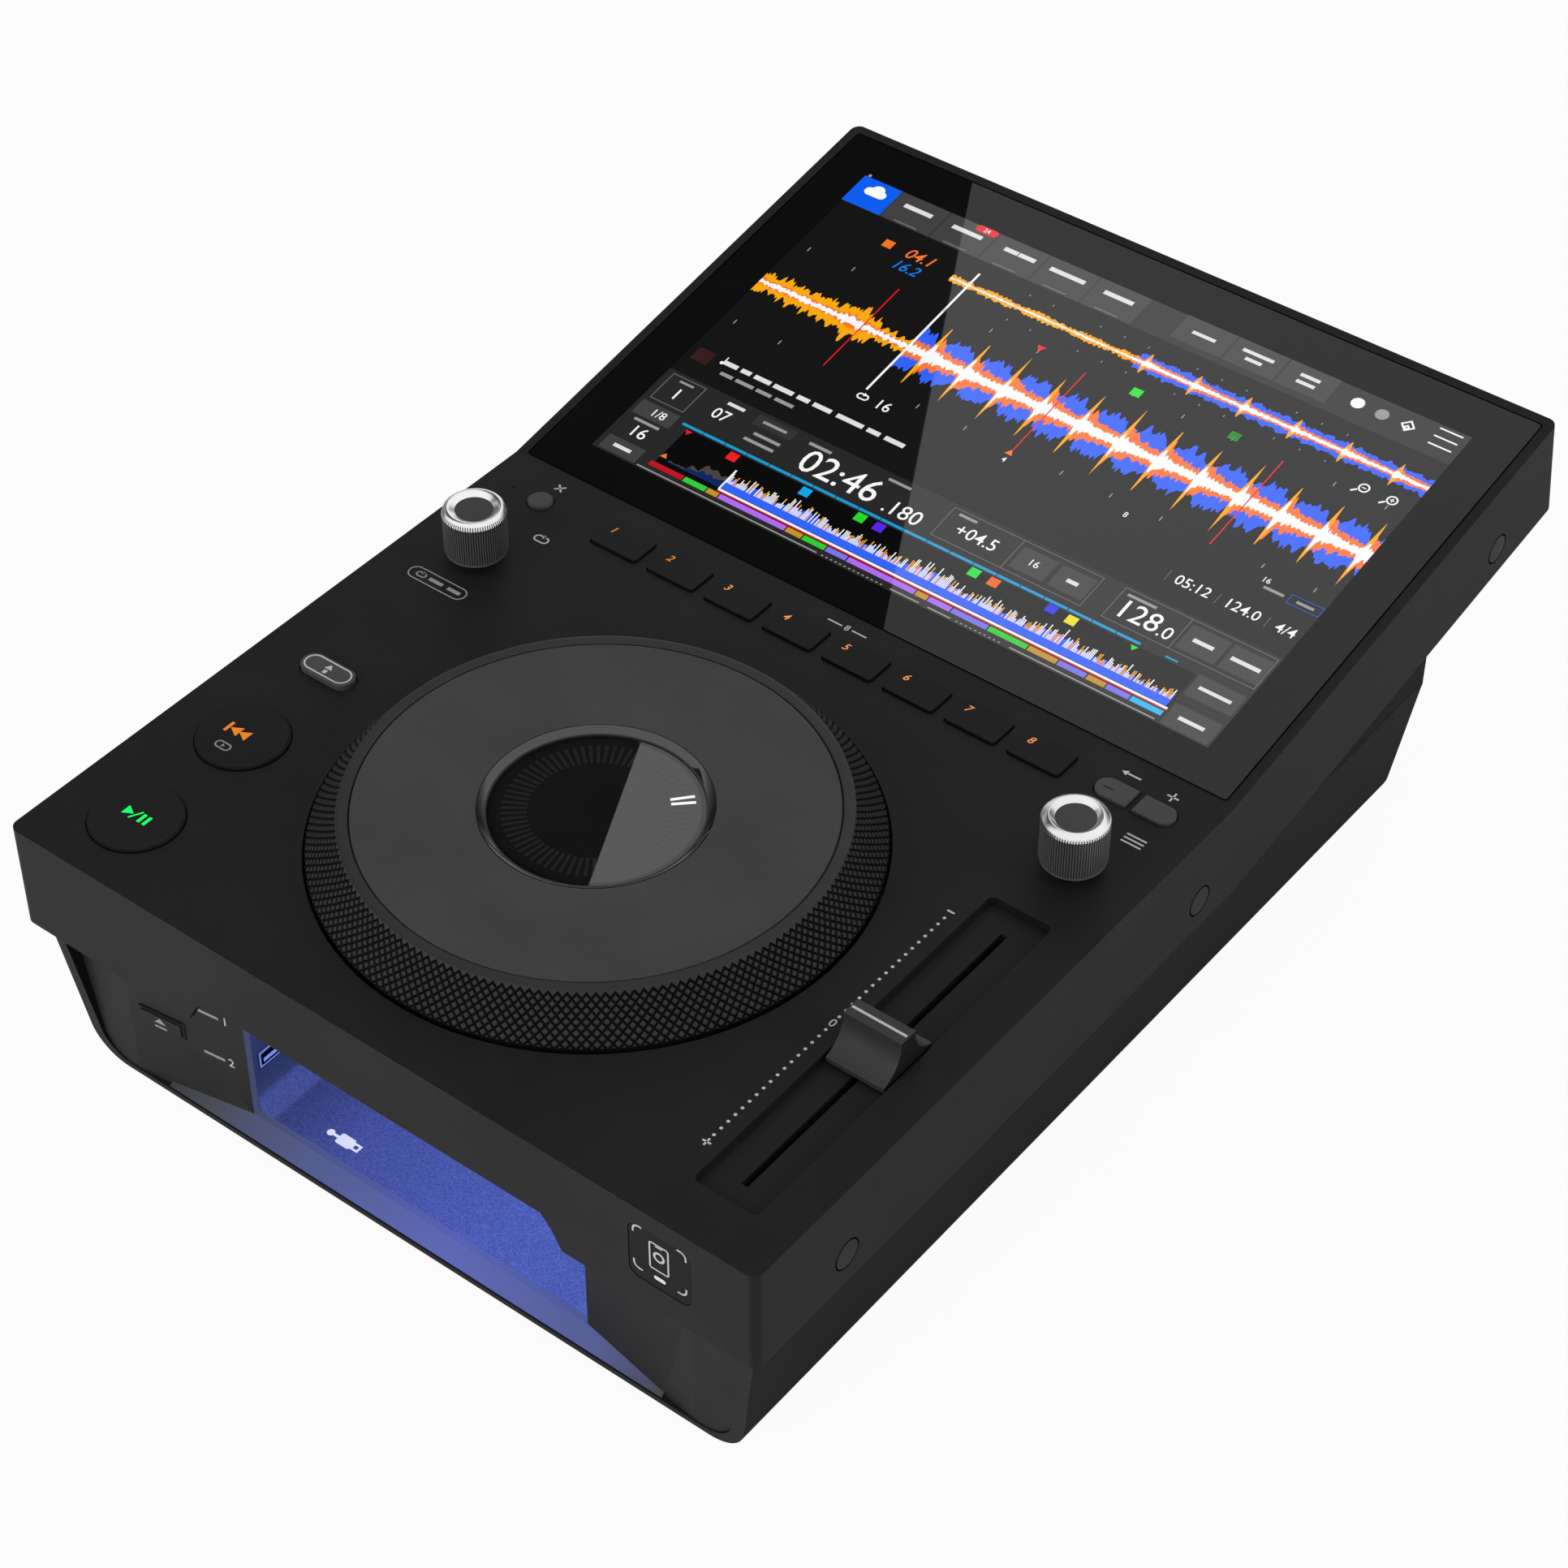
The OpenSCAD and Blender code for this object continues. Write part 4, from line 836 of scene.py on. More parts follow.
for number in range(1, 9):
    figure = digits(str(number), 3.7, PAD_X + PAD_STEP * (number - 1) - 5.2, 191.9, weight=0.03, slant=0.2)
    done(figure, f"pad_figure_{number}", f"pad_{number}_key", pad_diode, deck, PAD_TOP)
done(bar(94.6, 189.3, 3.0, 0.5, math.radians(4)), "back_key_dash", "back", black_print_and_painted_shade, deck, BACK_TOP)
# Painted shadow: a black bar in the gap between the back and tag keys
done(bar(103.35, 189.9, 0.9, 8.2), "key_gap_shadow", "case", black_print_and_painted_shade, deck, 0.02)
done(dot(-114.35, 189.16, 1.5, 16), "pilot_window", "case", black_print_and_painted_shade, deck, 0.01)

# Front: figures and word bars beside the sockets, sign on the eject key, and the sockets' edges in the bay,
# lit with a painted blue glint
figures = joined(digits("1", 4.2, 22.3, 11.5, weight=0.04), digits("2", 4.2, 22.6, -4.3, weight=0.04))
done(figures, "socket_figures", "case", ink_white, wing, WING_LIFT)
eject_sign = joined(arrow(0, 0.6, 2.6, 4.4, QUARTER), bar(0, -1.5, 4.0, 0.7))
done(eject_sign, "eject_sign", "eject", ink_grey, wing, EJECT_TOP)
word_bars = bars([(16.4, 11.6, 7.4, 1.0), (17.0, -4.2, 7.0, 1.0)])
done(word_bars, "socket_word_bars", "case", ink_grey, wing, WING_LIFT)
mouth = deck @ shift(-58.9, 24.4) @ turned(QUARTER, "Y")
# The sockets' shell edges glow blue: a painted highlight of the bay's light on the steel
shell_painted_glint = lit("steel_shell_painted_blue_glint", "#7f9bff", 0.9, 0.4, 0.3)
for index, down in enumerate((44.2, 61.3)):
    edge = joined(boxed(down, 0, 5.6, 13.2, 0.45), bar(down + 0.8, 0, 1.4, 10.4))
    done(edge, f"socket_painted_glint_{index + 1}", "case", shell_painted_glint, mouth)

# Front: tap mark on the right, generic plug sign on the bay's floor, which glows with the bay's painted light
quarter = hoop(2.0, 1.45, 32)
choose(quarter, "FACE", lambda side, corners: side.center.x < 0 or side.center.y < 0)
bpy.ops.mesh.delete(type="FACE")
leave_edit()
arcs = stamp(joined(quarter, bars([(1.725, -0.5, 0.55, 1.0), (-0.5, 1.725, 1.0, 0.55)])), [
    (95.5 + 6.4 * sx, -14.2 + 6.0 * sy, sx, sy) for sx in (-1, 1) for sy in (-1, 1)])
phone = moved(outline(pill(9.8, 6.2, 3, 0.8), 0.5), 95.3, -14.0, QUARTER)
tap = joined(arcs, phone, moved(hoop(1.8, 1.1), 95.3, -13.6), bar(95.3, -10.0, 2.2, 0.5))
done(tap, "tap_mark", "case", ink_white, face, PANEL_LIFT)
done(moved(pill(3.6, 1.3), 95.4, -21.6), "tap_dash", "case",
     lit("diode_white_dash", "#e4e4e4", 1.0, 0.2, 0.5), face, PANEL_LIFT)
plug_sign = joined(
    moved(pill(5.0, 3.8, 3, 0.7), -32.7, 21.2), boxed(-28.9, 21.2, 2.8, 2.6, 0.7), bar(-36.0, 21.2, 3.0, 0.9),
    dot(-38.0, 21.2, 2.3, 16))
done(plug_sign, "bay_floor_sign", "case", lit("ink_white_bay_painted_glow", "#dfe4ff", 1.0, 0.2, 0.4), deck, BAY_FLOOR)

# Painted shade: a near-black line in the gap between the glass and its rim
PANE_GAP = 0.2
pane = [glass.inverted() @ v.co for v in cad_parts["screen_glass"].data.vertices]
pane_w = max(v.x for v in pane) - min(v.x for v in pane)
pane_back = max(v.y for v in pane)
pane_front = min(v.y for v in pane)
gap_shade_line = outline(pill(pane_w + 2 * PANE_GAP, pane_back - pane_front + 2 * PANE_GAP, 6, 1.2), 0.45)
done(moved(gap_shade_line, 0, (pane_front + pane_back) / 2), "glass_gap_painted_shade", "case", painted_gap_shade, glass, 0.02)

# Rear: a coloured insert in the end of each signal jack, and short bars and a sign beside the sockets
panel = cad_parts["jack_panel"].data.vertices
rear_y = max(v.co.y for v in panel) / MM - FRONT
rear_z = (max(v.co.z for v in panel) + min(v.co.z for v in panel)) / 2 / MM - DECK
rear = deck @ shift(0, rear_y, rear_z) @ turned(math.pi, "Z") @ turned(QUARTER, "X")
for x, tint, dark, light in (
        (-20, "red", "#9a1a1e", "#aa2226"), (0, "white", "#b8b8b4", "#c6c6c2"),
        (20, "orange", "#b4560e", "#c46416")):
    insert = moulded(f"nylon_{tint}_jack_insert", dark, light, 0.4, 0.4, 0.5, 0.01)
    done(moved(hoop(3.5, 2.0, 32), x), f"jack_insert_{tint}", "case", insert, rear, JACK_END)
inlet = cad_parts["mains_inlet"].data.vertices
inlet_x = -(max(v.co.x for v in inlet) + min(v.co.x for v in inlet)) / 2 / MM
power_sign = joined(hoop(1.7, 1.3, 24), bar(0, 1.5, 0.45, 2.2))
words = bars([(x, 11.0, w, 1.1) for x, w in (
    (-20, 6.0), (0, 6.0), (20, 8.0), (-inlet_x, 9.0), (-inlet_x + 30, 8.0))])
done(joined(words, moved(power_sign, inlet_x - 35, 11.4)), "rear_print", "case", ink_grey, rear, LIFT)


# ---- Touch screen: panels, tiles, figures and waves, each layer a little above the one below ----

# How far up the glass the two waves and the overview's base line lie
WAVE_S = 95.2
SMALL_S = 125.8
BASE_S = 20.2
# The playing line, the length of a beat, and the ends of the waves and of the played part of the overview
HEAD_X = -51.9
BEAT = 13.62
LEFT_X = -107.6
RIGHT_X = 107.6
PLAYED_X = -64
# Right of here the quiet part of the wave is lower
CALM_X = -64
FIELD, PANEL, TILE, WAVE, SIGN = 0.02, 0.03, 0.05, 0.06, 0.12
# Step of the overview's body, of its upright bars, and how many places those have
SKY_STEP = 0.9
COMB_STEP = 0.56
COMB_PLACES = 275
COMB_FOOT = 2.6


def on_glass(shape, name, colour, height):
    """Lays a flat shape on the glass as a lit area of the display."""
    return done(shape, name, "case", colour, glass, height)


def ribbon(start, end, columns, top, low):
    """A strip of the display between two jagged lines: a grid whose columns are pulled to their heights."""
    bpy.ops.mesh.primitive_grid_add(x_subdivisions=columns, y_subdivisions=1, size=2)
    strip = bpy.context.object
    for vertex in strip.data.vertices:
        column = round((vertex.co.x + 1) / 2 * columns)
        x = start + (end - start) * column / columns
        vertex.co = (x, top[column] if vertex.co.y > 0 else low[column], 0)
    return strip


def wave(name, colour, start, end, middle, swing, height, step, rough=0.86):
    """A symmetrical ribbon whose half height at x is swing(x), roughened by chance."""
    columns = int((end - start) / step)
    xs = [start + (end - start) * i / columns for i in range(columns + 1)]
    ups = [middle + swing(x) * random.uniform(rough, 1.0) for x in xs]
    downs = [middle - swing(x) * random.uniform(rough, 1.0) for x in xs]
    return on_glass(ribbon(start, end, columns, ups, downs), name, colour, height)


def beat(x):
    """How far x is through its beat, from 0 to 1."""
    return ((x - HEAD_X - 7.0) / BEAT) % 1


def tip(x, reach):
    """The thin spike at the start of each beat."""
    u = beat(x)
    return reach * max(0.0, 1 - min(u, 1 - u) / 0.075)


def core(x):
    """The white inner part of the wave: high at each beat, then falling."""
    return max(tip(x, 9.0), 1.5 + 3.0 * math.exp(-5.0 * beat(x)) + 0.8 * math.sin(2.1 * x) ** 2)


def middle_band(x):
    """The wave's orange part, which falls more slowly."""
    ripple = 0.75 + 0.25 * math.sin(1.7 * x)
    return max(tip(x, 12.0), core(x) + 1.4 + 4.6 * math.exp(-2.2 * beat(x)) * ripple)


def outer_band(x):
    """The wave's blue part, which swells through each beat."""
    rise = 0.62 + 0.38 * math.sin(math.pi * min(1.0, max(0.0, (beat(x) - 0.1) / 0.85)))
    return 12.4 * rise * (0.88 + 0.12 * math.sin(1.3 * x) * math.sin(0.37 * x))


def quiet_band(x):
    """The irregular quiet part of the wave, left of the playing line."""
    bulge = 2.6 * math.exp(-((x + 71) / 5.0) ** 2)
    high = 4.6 + bulge + 1.4 * abs(math.sin(0.55 * x)) + 0.8 * math.sin(1.9 * x)
    return high * (1.0 if x < CALM_X else 0.62)


def quiet_core(x):
    """The inner part of the quiet wave."""
    return 1.0 + 1.4 * math.exp(-((x + 72) / 5.0) ** 2) + 0.7 * math.sin(1.6 * x) ** 2


def small_quiet(x):
    """The quiet part of the small wave."""
    return (1.2 + 1.0 * abs(math.sin(0.19 * x)) ** 0.6) * (0.8 + 0.2 * abs(((x / 1.7) % 1) - 0.5) * 2)


def small(reach):
    """The course of the small wave, whose beats are a little longer."""
    return lambda x: max(tip(x * 0.8, reach), 0.3 * reach + 0.3 * reach * math.exp(-3 * beat(x * 0.8)))


def swell(x):
    """The slow rise and fall of the overview."""
    return 0.82 + 0.18 * math.sin(0.21 * x) * math.sin(0.077 * x + 1)


def played(x):
    """How high the played part of the overview is: low at first, then a step up."""
    return 0.12 if x < -77 else 0.75 if x > -74 else 0.4


def skyline(name, colour, start, end, low, high, height, course):
    """A one-sided ribbon on the overview's base line; its ragged tops follow its course."""
    columns = int((end - start) / SKY_STEP)
    tops = [BASE_S + random.uniform(low, high) * course(start + SKY_STEP * i) for i in range(columns + 1)]
    return on_glass(ribbon(start, end, columns, tops, [BASE_S] * (columns + 1)), name, colour, height)


def comb(name, colour, share, low, high, height):
    """Thin upright bars of the overview at random places and heights."""
    spots = [PLAYED_X + COMB_STEP * i for i in range(COMB_PLACES) if random.random() < share]
    tall = [(x, random.uniform(low, high) * swell(x)) for x in spots]
    shapes = bars([(x, BASE_S + (h + COMB_FOOT) / 2, 0.36, h - COMB_FOOT) for x, h in tall])
    return on_glass(shapes, name, colour, height)


yellow = lit("display_amber", "#ffae12")
orange = lit("display_orange", "#ff7c35")
blue = lit("display_blue", "#3567ff")
paper_white = lit("display_white", "#ffffff")
red = lit("display_red", "#e8202e")
green = lit("display_green", "#25e62f")
cyan = lit("display_cyan", "#1c9fd6")
panel_dark = lit("display_panel_dark", "#171717", grain_mm=2)
panel_black = lit("display_panel_black", "#0c0c0c", grain_mm=2)
panel_mid = lit("display_panel_grey", "#2a2a2a", grain_mm=2)
panel_bar = lit("display_bar_grey", "#303030", grain_mm=2)
tile_grey = lit("display_tile_grey", "#444444", grain_mm=2)
tile_dim = lit("display_tile_dim", "#363636", grain_mm=2)
rule_grey = lit("display_rule_grey", "#6f6f6f")
word_grey = lit("display_text_grey", "#9c9c9c")

# Panels and tiles
on_glass(bar(0, 81.6, 215.2, 135.2), "screen_field", panel_dark, FIELD)
on_glass(bar(0, 143.0, 215.2, 12.6), "screen_top_bar", panel_bar, PANEL)
on_glass(bar(0, 32.6, 215.2, 37.2), "screen_low_panel", panel_mid, PANEL)
on_glass(bar(1.8, 25.2, 178.0, 17.4), "screen_overview_field", panel_black, PANEL + 0.01)
on_glass(bar(-100.9, 143.1, 14.4, 12.4), "screen_blue_tile", lit("display_tile_blue", "#1060f5"), TILE)
tabs = [-84.3 + 18.5 * i for i in range(5)]
on_glass(bars([(x, 143.1, 18.1, 12.3) for x in tabs]), "screen_tabs", tile_grey, TILE)
on_glass(bars([
    (20.3, 144.2, 17.6, 10.4), (38.2, 144.2, 17.4, 10.4), (56.0, 144.2, 17.0, 10.4), (-99.2, 33.9, 14.0, 6.0),
    (-98.9, 17.6, 13.6, 5.8), (29.8, 43.7, 11.6, 8.6), (43.0, 43.7, 11.6, 8.6), (86.4, 43.9, 12.6, 9.4),
    (100.1, 43.9, 12.6, 9.4), (99.1, 30.4, 15.2, 8.2), (99.3, 18.6, 15.2, 8.2)]),
    "screen_tiles", tile_grey, TILE)
on_glass(bar(-65.5, 47.9, 14.0, 4.2), "screen_dim_tile", tile_dim, TILE)

# Waves: quiet up to the playing line, then with beats, and the small wave above; the draws follow this order
QUIET = (LEFT_X, HEAD_X + 2, WAVE_S)
LOUD = (HEAD_X, RIGHT_X, WAVE_S)
SMALL_QUIET = (-58.6, 9.5, SMALL_S)
SMALL_LOUD = (7, RIGHT_X, SMALL_S)
wave("wave_quiet", yellow, *QUIET, quiet_band, WAVE, 0.5, 0.5)
wave("wave_quiet_middle", orange, *QUIET, lambda x: quiet_core(x) + 0.6, WAVE + 0.02, 0.6, 0.5)
wave("wave_quiet_core", paper_white, *QUIET, quiet_core, WAVE + 0.03, 0.5, 0.25)
wave("wave_low", blue, *LOUD, outer_band, WAVE, 0.6, 0.72)
wave("wave_middle", orange, *LOUD, middle_band, WAVE + 0.02, 0.5, 0.62)
wave("wave_tips", yellow, *LOUD, lambda x: max(0.05, tip(x, 16.0)), WAVE + 0.03, 0.3)
wave("wave_core", paper_white, *LOUD, core, WAVE + 0.04, 0.45, 0.45)
wave("small_wave_quiet", yellow, *SMALL_QUIET, small_quiet, WAVE, 0.5, 0.5)
wave("small_wave_quiet_core", paper_white, *SMALL_QUIET,
     lambda x: 0.3 * small_quiet(x), WAVE + 0.03, 0.5, 0.2)
wave("small_wave_low", blue, 9, RIGHT_X, SMALL_S,
     lambda x: 4.1 * (0.9 + 0.1 * math.sin(1.3 * x)), WAVE, 0.6, 0.7)
wave("small_wave_middle", orange, *SMALL_LOUD, small(4.6), WAVE + 0.02, 0.5, 0.6)
wave("small_wave_tips", yellow, *SMALL_LOUD, lambda x: max(0.05, tip(x * 0.8, 5.2)), WAVE + 0.03, 0.3)
wave("small_wave_core", paper_white, *SMALL_LOUD, small(2.4), WAVE + 0.04, 0.5, 0.4)
skyline("overview_body", blue, PLAYED_X, 90, 4.4, 6.6, WAVE, swell)
comb("overview_shoulders", yellow, 0.7, 4.2, 8.4, WAVE + 0.02)
comb("overview_tops", paper_white, 0.6, 4.6, 9.2, WAVE + 0.04)
played_grey = lit("display_played_grey", "#4a463c")
played_blue = lit("display_played_blue", "#102a66")
skyline("overview_played_tops", played_grey, -84, PLAYED_X, 4, 8.0, WAVE, played)
skyline("overview_played_body", played_blue, -84, PLAYED_X, 2.4, 4.0, WAVE + 0.02, played)

# Straight lines
on_glass(bars([(HEAD_X, 103.1, 0.75, 57.2), (-64.4, 24.0, 0.6, 8.4), (13.2, 19.6, 155.4, 0.75)]),
         "screen_white_lines", paper_white, SIGN)
beats = [-68.9 + 68.1 * i for i in range(3)]
on_glass(bars([(x, 94.8, 0.4, 37.8) for x in beats] + [(13.2, 18.95, 155.4, 0.4)]),
         "screen_red_lines", red, SIGN - 0.01)
beat_ticks = [x + 17.03 * i for x in beats for i in (1, 2, 3)] + [-103.0, -86.0]
wave_ticks = [(x, WAVE_S + d, 0.35, 1.8) for x in beat_ticks if x < 106 for d in (-18.4, 18.4)]
small_ticks = [(x * 0.5 + 18, SMALL_S + d, 0.3, 0.8) for x in beat_ticks for d in (-6, 6)]
on_glass(bars(wave_ticks + small_ticks), "screen_beat_ticks", word_grey, SIGN)
on_glass(bars([(-86 + 8.1 * i, 34.9, 7.8, 0.95) for i in range(20)] + [(82, 34.9, 4.0, 0.6)]),
         "screen_cyan_line", cyan, SIGN)
under = [(x, 14.75, w, 0.45) for x, w in ((-58, 66), (6, 10), (18, 8), (66, 48))]
dots = [(start + 1.6 * i, 14.75, 0.7, 0.4) for start, count in ((-23, 14), (24, 10)) for i in range(count)]
on_glass(bars(under + dots), "screen_under_line", word_grey, SIGN)

# Phrase bar: coloured stretches under the overview
for tint, code, spans in (
        ("red", "#c01824", [(-88.4, -76.0)]), ("green", "#35d13a", [(-75.6, -67.5), (-32, -24), (33, 46)]),
        ("gold", "#c8962a", [(-67.1, -63), (-38, -32.4), (8, 12), (46.4, 56), (66, 72)]),
        ("violet", "#b070f4", [(-62.6, -38.4), (-16, 7.6), (12.4, 20)]),
        ("lilac", "#7f78ea", [(-23.6, -16.4), (20.4, 32.6), (56.4, 65.6), (72.4, 80)]),
        ("sky", "#2cbcf0", [(80.4, 90.6)])):
    on_glass(bars([((a + b) / 2, 17.5, b - a, 1.9) for a, b in spans]), f"phrase_{tint}",
             lit(f"display_phrase_{tint}", code), TILE)

# Cue flags above the overview and the wave
flags = [
    (-68.8, 31.9, "#f5202c"), (-42.1, 31.9, "#16a8e8"), (-22.5, 32.2, "#28e02c"), (-15.7, 32.0, "#5a28e8"),
    (17.5, 32.2, "#28e04c"), (24.3, 32.1, "#f56a28"), (43.7, 32.6, "#3038e8"), (50.8, 32.0, "#f2e428"),
    (16.4, 114.6, "#28e63c"), (50.2, 114.6, "#1c8a24"), (-83.4, 128.0, "#f57a2c")]
for index, (x, s, code) in enumerate(flags):
    on_glass(bar(x, s, 3.4, 3.2), f"cue_flag_{index + 1}", lit(f"display_flag_{index + 1}", code), SIGN)
on_glass(joined(arrow(-17.9, 115.2, 3.2, 3.6, -QUARTER), arrow(-86.2, 32.9, 2.4, 2.8, -QUARTER)),
         "screen_red_signs", red, SIGN)
on_glass(arrow(70.9, 32.9, 2.4, 2.8, -QUARTER), "screen_green_sign", green, SIGN)
on_glass(joined(arrow(-1.0, 75.4, 2.8, 3.0, QUARTER), arrow(-86.2, 21.6, 2.4, 2.8, QUARTER)),
         "screen_orange_signs", orange, SIGN)
on_glass(moved(pill(8.0, 2.9), -60.8, 148.0), "screen_red_badge", red, SIGN)

# Figures
on_glass(digits("04.1", 6.0, -71.5, 127.8, 0.02, 0.25), "screen_orange_figures", orange, SIGN)
on_glass(digits("16.2", 5.6, -72.8, 122.0, 0.02, 0.25), "screen_blue_figures",
         lit("display_figures_blue", "#1f7be8"), SIGN)
figures = [
    ("24", 2.3, -60.8, 148.0), ("02:46", 12.6, -37.2, 41.9), (".180", 7.6, -13.4, 40.0),
    ("07", 6.0, -82.3, 43.4), ("1", 6.4, -98.9, 43.2), ("1/8", 4.2, -98.2, 33.8), ("16", 6.2, -98.8, 24.9),
    ("4", 2.8, -0.9, 72.4),
    ("8", 2.8, 41.0, 72.8), ("16", 2.8, 88.1, 72.8), ("16", 5.4, -43.6, 71.4), ("+04.5", 6.2, 10.4, 43.2),
    ("128", 9.6, 65.6, 43.0), (".0", 6.4, 75.2, 41.8), ("05:12", 5.2, 72.2, 60.1), ("124.0", 5.2, 88.4, 60.1),
    ("4/4", 5.0, 102.6, 59.9), ("16", 3.6, 29.8, 43.7)]
on_glass(joined(*[digits(*f, weight=0.012) for f in figures]), "screen_figures", paper_white, SIGN + 0.01)

# Frames and rules
frames = [boxed(x, s, w, h, 0.28) for x, s, w, h in (
    (-98.9, 44.2, 12.6, 11.6), (24.0, 43.7, 51.6, 12.4), (81.8, 43.9, 50.2, 12.6))]
rules = [(22.6, 43.7, 0.28, 12.2), (79.0, 43.9, 0.28, 12.4)] + [(x, 60, 0.25, 4) for x in (64.0, 80.4, 96.6)]
tab_rules = [(x, 137.6, 8.4, 0.55) for x in tabs]
on_glass(joined(*frames, bars(rules + tab_rules)), "screen_frames", rule_grey, SIGN)
on_glass(boxed(102.2, 70.4, 10.6, 3.8, 0.35), "screen_blue_frame", lit("display_frame_blue", "#2450b0"), SIGN)

# Words are only hinted at by short bars: the title's, the tabs' and the tiles'
title = [(-92.5, 5.0), (-86.8, 3.6), (-80.6, 6.0), (-72.8, 7.2), (-65.4, 4.4), (-58.4, 6.6), (-48.2, 9.6),
         (-39.6, 4.6), (-32.0, 7.0)]
bold = [(-84.3, 10.4), (-65.8, 11.0), (-49.4, 5.0), (-43.6, 6.0), (-28.8, 12.6), (-10.3, 10.4)]
more = [(20.3, 144.0, 8.0, 1.3), (38.2, 145.6, 10.6, 1.3), (38.2, 142.8, 5.6, 1.3), (56.0, 145.6, 6.6, 1.3),
        (56.0, 142.8, 6.2, 1.3), (43.0, 43.7, 3.8, 1.4), (86.4, 43.9, 6.6, 1.4), (100.1, 43.9, 9.4, 1.4),
        (99.3, 18.6, 8.2, 1.3), (99.1, 30.4, 10.4, 1.2), (-98.9, 17.6, 6.4, 1.3), (-80.4, 48.6, 6.2, 1.2)]
on_glass(bars([(x, 61.5, w, 1.7) for x, w in title] + [(x, 144.6, w, 1.7) for x, w in bold] + more),
         "screen_word_bars", lit("display_text_white", "#e6e6e6"), SIGN)
on_glass(bars([
    (-91, 57.3, 4.6, 1.3), (-84.2, 57.3, 6.6, 1.3), (-77.0, 57.3, 5.6, 1.3), (-69.4, 57.3, 6.8, 1.3),
    (-65.5, 47.9, 8.6, 1.0), (-64.6, 42.8, 9.6, 1.1), (-65.4, 39.8, 10.8, 1.1), (-49.0, 48.2, 8.0, 1.1),
    (-20.6, 48.8, 8.0, 1.0), (4.0, 48.2, 6.2, 1.0), (63.4, 48.2, 9.6, 1.0), (-99.0, 29.2, 9.2, 1.0),
    (92.0, 70.4, 6.6, 1.0), (102.2, 70.4, 5.6, 1.0), (-98.9, 48.2, 5.2, 0.8)]),
    "screen_small_word_bars", word_grey, SIGN)

# Signs: a cloud, three lines, two open squares, two magnifying glasses, discs and a note
cloud = joined(
    stamp(disc(20), [(-102.6, 144.2, 3.6, 3.4), (-100.3, 145.4, 4.6, 4.4), (-98.2, 144.2, 3.2, 3.2)]),
    bar(-100.4, 143.5, 4.6, 1.9))
menu = bars([(101.7, 141.2 + 3.3 * i, 7.6, 0.55) for i in range(3)])
fans = [outline(bar(89.8, 142.4 + 0.4 * w, w, w, math.pi / 4), 0.55) for w in (1.6, 3.4)]
glasses = (92.2, 101.4)
rims = [moved(hoop(1.75, 1.25), x, 116.6) for x in glasses]
handles = bars(
    [(x - 2.2, 114.6, 2.0, 0.6, math.pi / 4) for x in glasses] + [(x, 116.6, 1.4, 0.35) for x in glasses]
    + [(101.4, 116.6, 0.35, 1.4), (-95.1, 62.3, 0.35, 2.8)])
on_glass(joined(cloud, menu, *fans, *rims, handles, dot(72.9, 144.1, 4.2), loop_sign(-51.0, 71.5, 2.4, 0.5),
                dot(-95.6, 60.9, 1.3, 12)), "screen_signs", paper_white, SIGN + 0.01)
on_glass(joined(dot(81.2, 143.8, 4.2), dot(-106.7, 149.9, 1.2, 12)), "screen_grey_discs", word_grey, SIGN)
cover = lit("display_cover_tile", "#3a1f22", grain_mm=1.2)
on_glass(bar(-102.2, 60.2, 6.0, 5.4), "screen_cover_tile", cover, SIGN)


# ---- Studio ----

def lamp(name, place, size, power):
    """A soft square lamp that looks at the part."""
    data = bpy.data.lights.new(name, "AREA")
    data.shape = "SQUARE"
    data.size = size
    data.energy = power
    obj = bpy.data.objects.new(name, data)
    bpy.context.scene.collection.objects.link(obj)
    obj.location = place
    obj.visible_glossy = False
    obj.rotation_euler = Vector(place).to_track_quat("Z", "Y").to_euler()


lamp("lamp_front", (-0.5, -2.2, 0.9), 1.6, 27)
lamp("lamp_right", (2.3, 0.7, 0.9), 1.6, 20)
lamp("lamp_top", (-0.3, 0.4, 2.4), 1.8, 5)

# The air is white to the camera and to mirrors, and half as bright to everything else
world = bpy.data.worlds.new("studio")
bpy.context.scene.world = world
world.use_nodes = True
sky = world.node_tree
sky.nodes.clear()
rays = add(sky, "LightPath")
seen = add(sky, "Math", {"operation": "MAXIMUM"}, {
    0: rays.outputs["Is Camera Ray"], 1: rays.outputs["Is Glossy Ray"]})
white = add(sky, "Math", {"operation": "MAXIMUM"}, {
    0: seen.outputs[0], 1: rays.outputs["Is Transmission Ray"]})
level = add(sky, "MapRange", {"To Min": 0.5, "To Max": 1.0}, {"Value": white.outputs[0]})
air = add(sky, "Background", {"Color": (1, 1, 1, 1)}, {"Strength": level.outputs["Result"]})
end = add(sky, "OutputWorld")
shows(sky, air, end)

bpy.ops.mesh.primitive_plane_add(size=8)
floor = bpy.context.object
floor.name = "studio_floor"
# White paper that glows a little to the camera, so that it has no edge
paper, tree, out = blank("paper_white_floor")
rays = add(tree, "LightPath")
shade = add(tree, "BsdfDiffuse", {"Color": linear("#f0f0f0")})
glow = add(tree, "Emission", {"Color": (1, 1, 1, 1)})
part = add(tree, "Math", {"operation": "MULTIPLY", 1: 0.94}, {0: rays.outputs["Is Camera Ray"]})
blend = add(tree, "MixShader", None, {
    "Fac": part.outputs[0], 1: shade.outputs["BSDF"], 2: glow.outputs["Emission"]})
shows(tree, blend, out)
floor.data.materials.append(paper)

# Black felt
black, tree, out = blank("felt_black_card")
cloth = add(tree, "BsdfDiffuse", {"Color": linear("#020202")})
shows(tree, cloth, out)

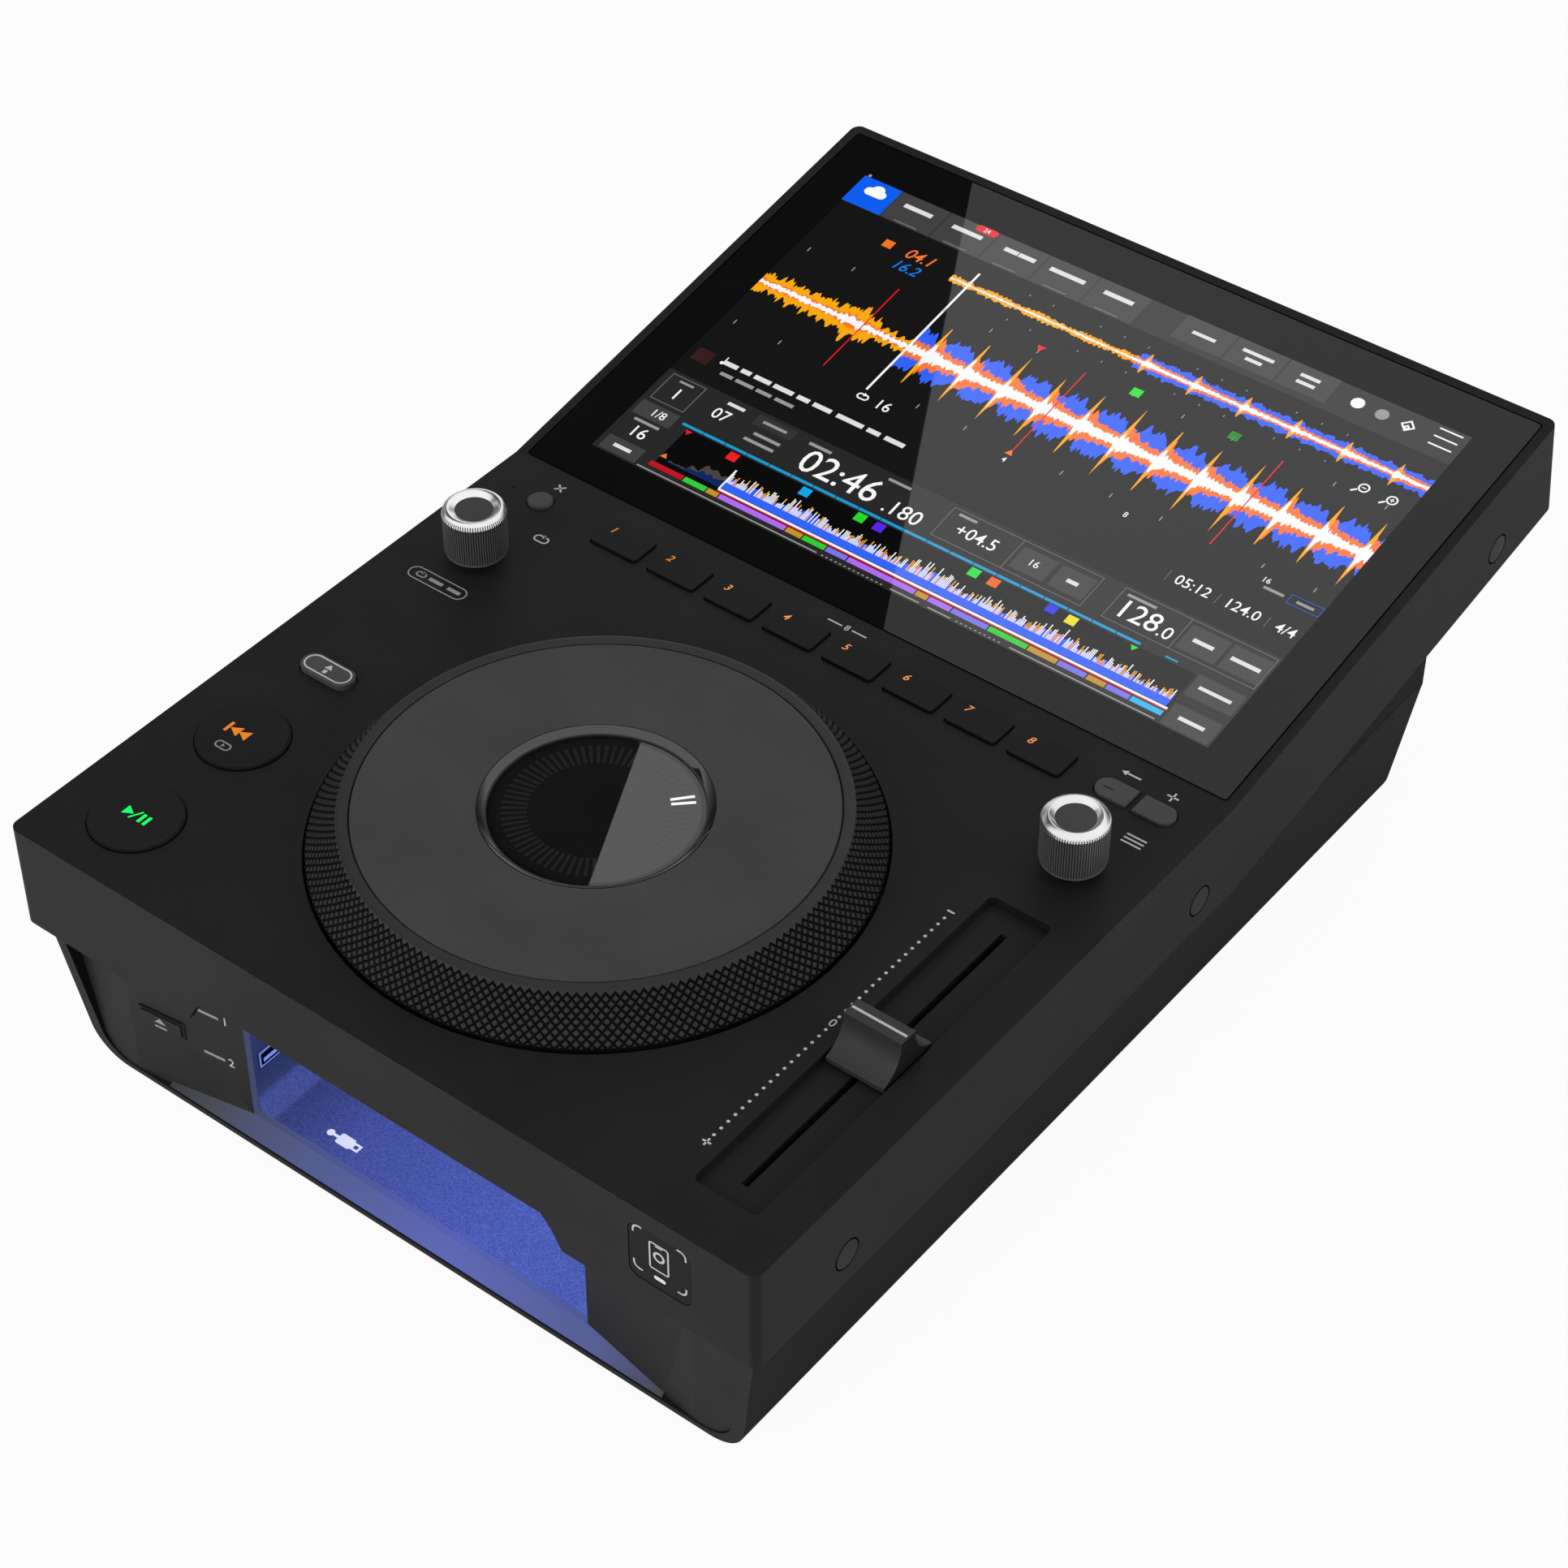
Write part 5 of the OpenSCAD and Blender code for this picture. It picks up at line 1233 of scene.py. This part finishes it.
# A dark card that fades to white at its sides and top
faded, tree, out = blank("faded_card")
spot = add(tree, "SeparateXYZ", None, {"Vector": add(tree, "TexCoord").outputs["UV"]})
aside = add(tree, "MapRange", {"To Min": -1.0, "To Max": 1.0}, {"Value": spot.outputs["X"]})
to_sides = add(tree, "Math", {"operation": "POWER", 1: 4.0}, {0: aside.outputs["Result"]})
to_top = add(tree, "Math", {"operation": "POWER", 1: 3.0}, {0: spot.outputs["Y"]})
bright = add(tree, "Math", {"operation": "MAXIMUM"}, {0: to_sides.outputs[0], 1: to_top.outputs[0]})
paper_glow = add(tree, "Emission", {"Color": (1, 1, 1, 1)}, {"Strength": bright.outputs[0]})
shows(tree, paper_glow, out)

# How far off the low cards stand, half their width, their height, and the height of their foot
CARD_FAR = 3.2
CARD_HALF = 1.6
CARD_TALL = 2.0
CARD_FOOT = 0.02


def card(name, corners, material):
    """A card that only mirrors see."""
    bpy.ops.mesh.primitive_plane_add(size=1)
    sheet = bpy.context.object
    sheet.name = name
    for vertex, corner in zip(sheet.data.vertices, corners):
        vertex.co = corner
    sheet.data.materials.append(material)
    sheet.visible_camera = False
    sheet.visible_diffuse = False
    sheet.visible_shadow = False
    sheet.visible_transmission = False


# Far behind the left shoulder: its edge is what the two glasses mirror as a slanting line
corner = Vector((-0.78015, -0.76078, 3.54771))
along = Vector((-0.46060, 0.88064, 0.11099))
across = Vector((0.86382, 0.41598, 0.28420))
corners = [corner + along * u + across * w for w in (-3.2, 0) for u in (1.0, 7.0)]
card("dark_card", corners, black)
# Low behind and to the left: they shade the polished rings
for name, turn in (("low_card_back", math.radians(84)), ("low_card_left", math.radians(172))):
    middle = Vector((CARD_FAR * math.cos(turn), CARD_FAR * math.sin(turn), CARD_FOOT))
    side = Vector((-math.sin(turn), math.cos(turn), 0))
    corners = [middle + side * u + Vector((0, 0, w)) for w in (0, CARD_TALL) for u in (-CARD_HALF, CARD_HALF)]
    card(name, corners, faded)

bpy.context.scene.view_settings.view_transform = "Standard"
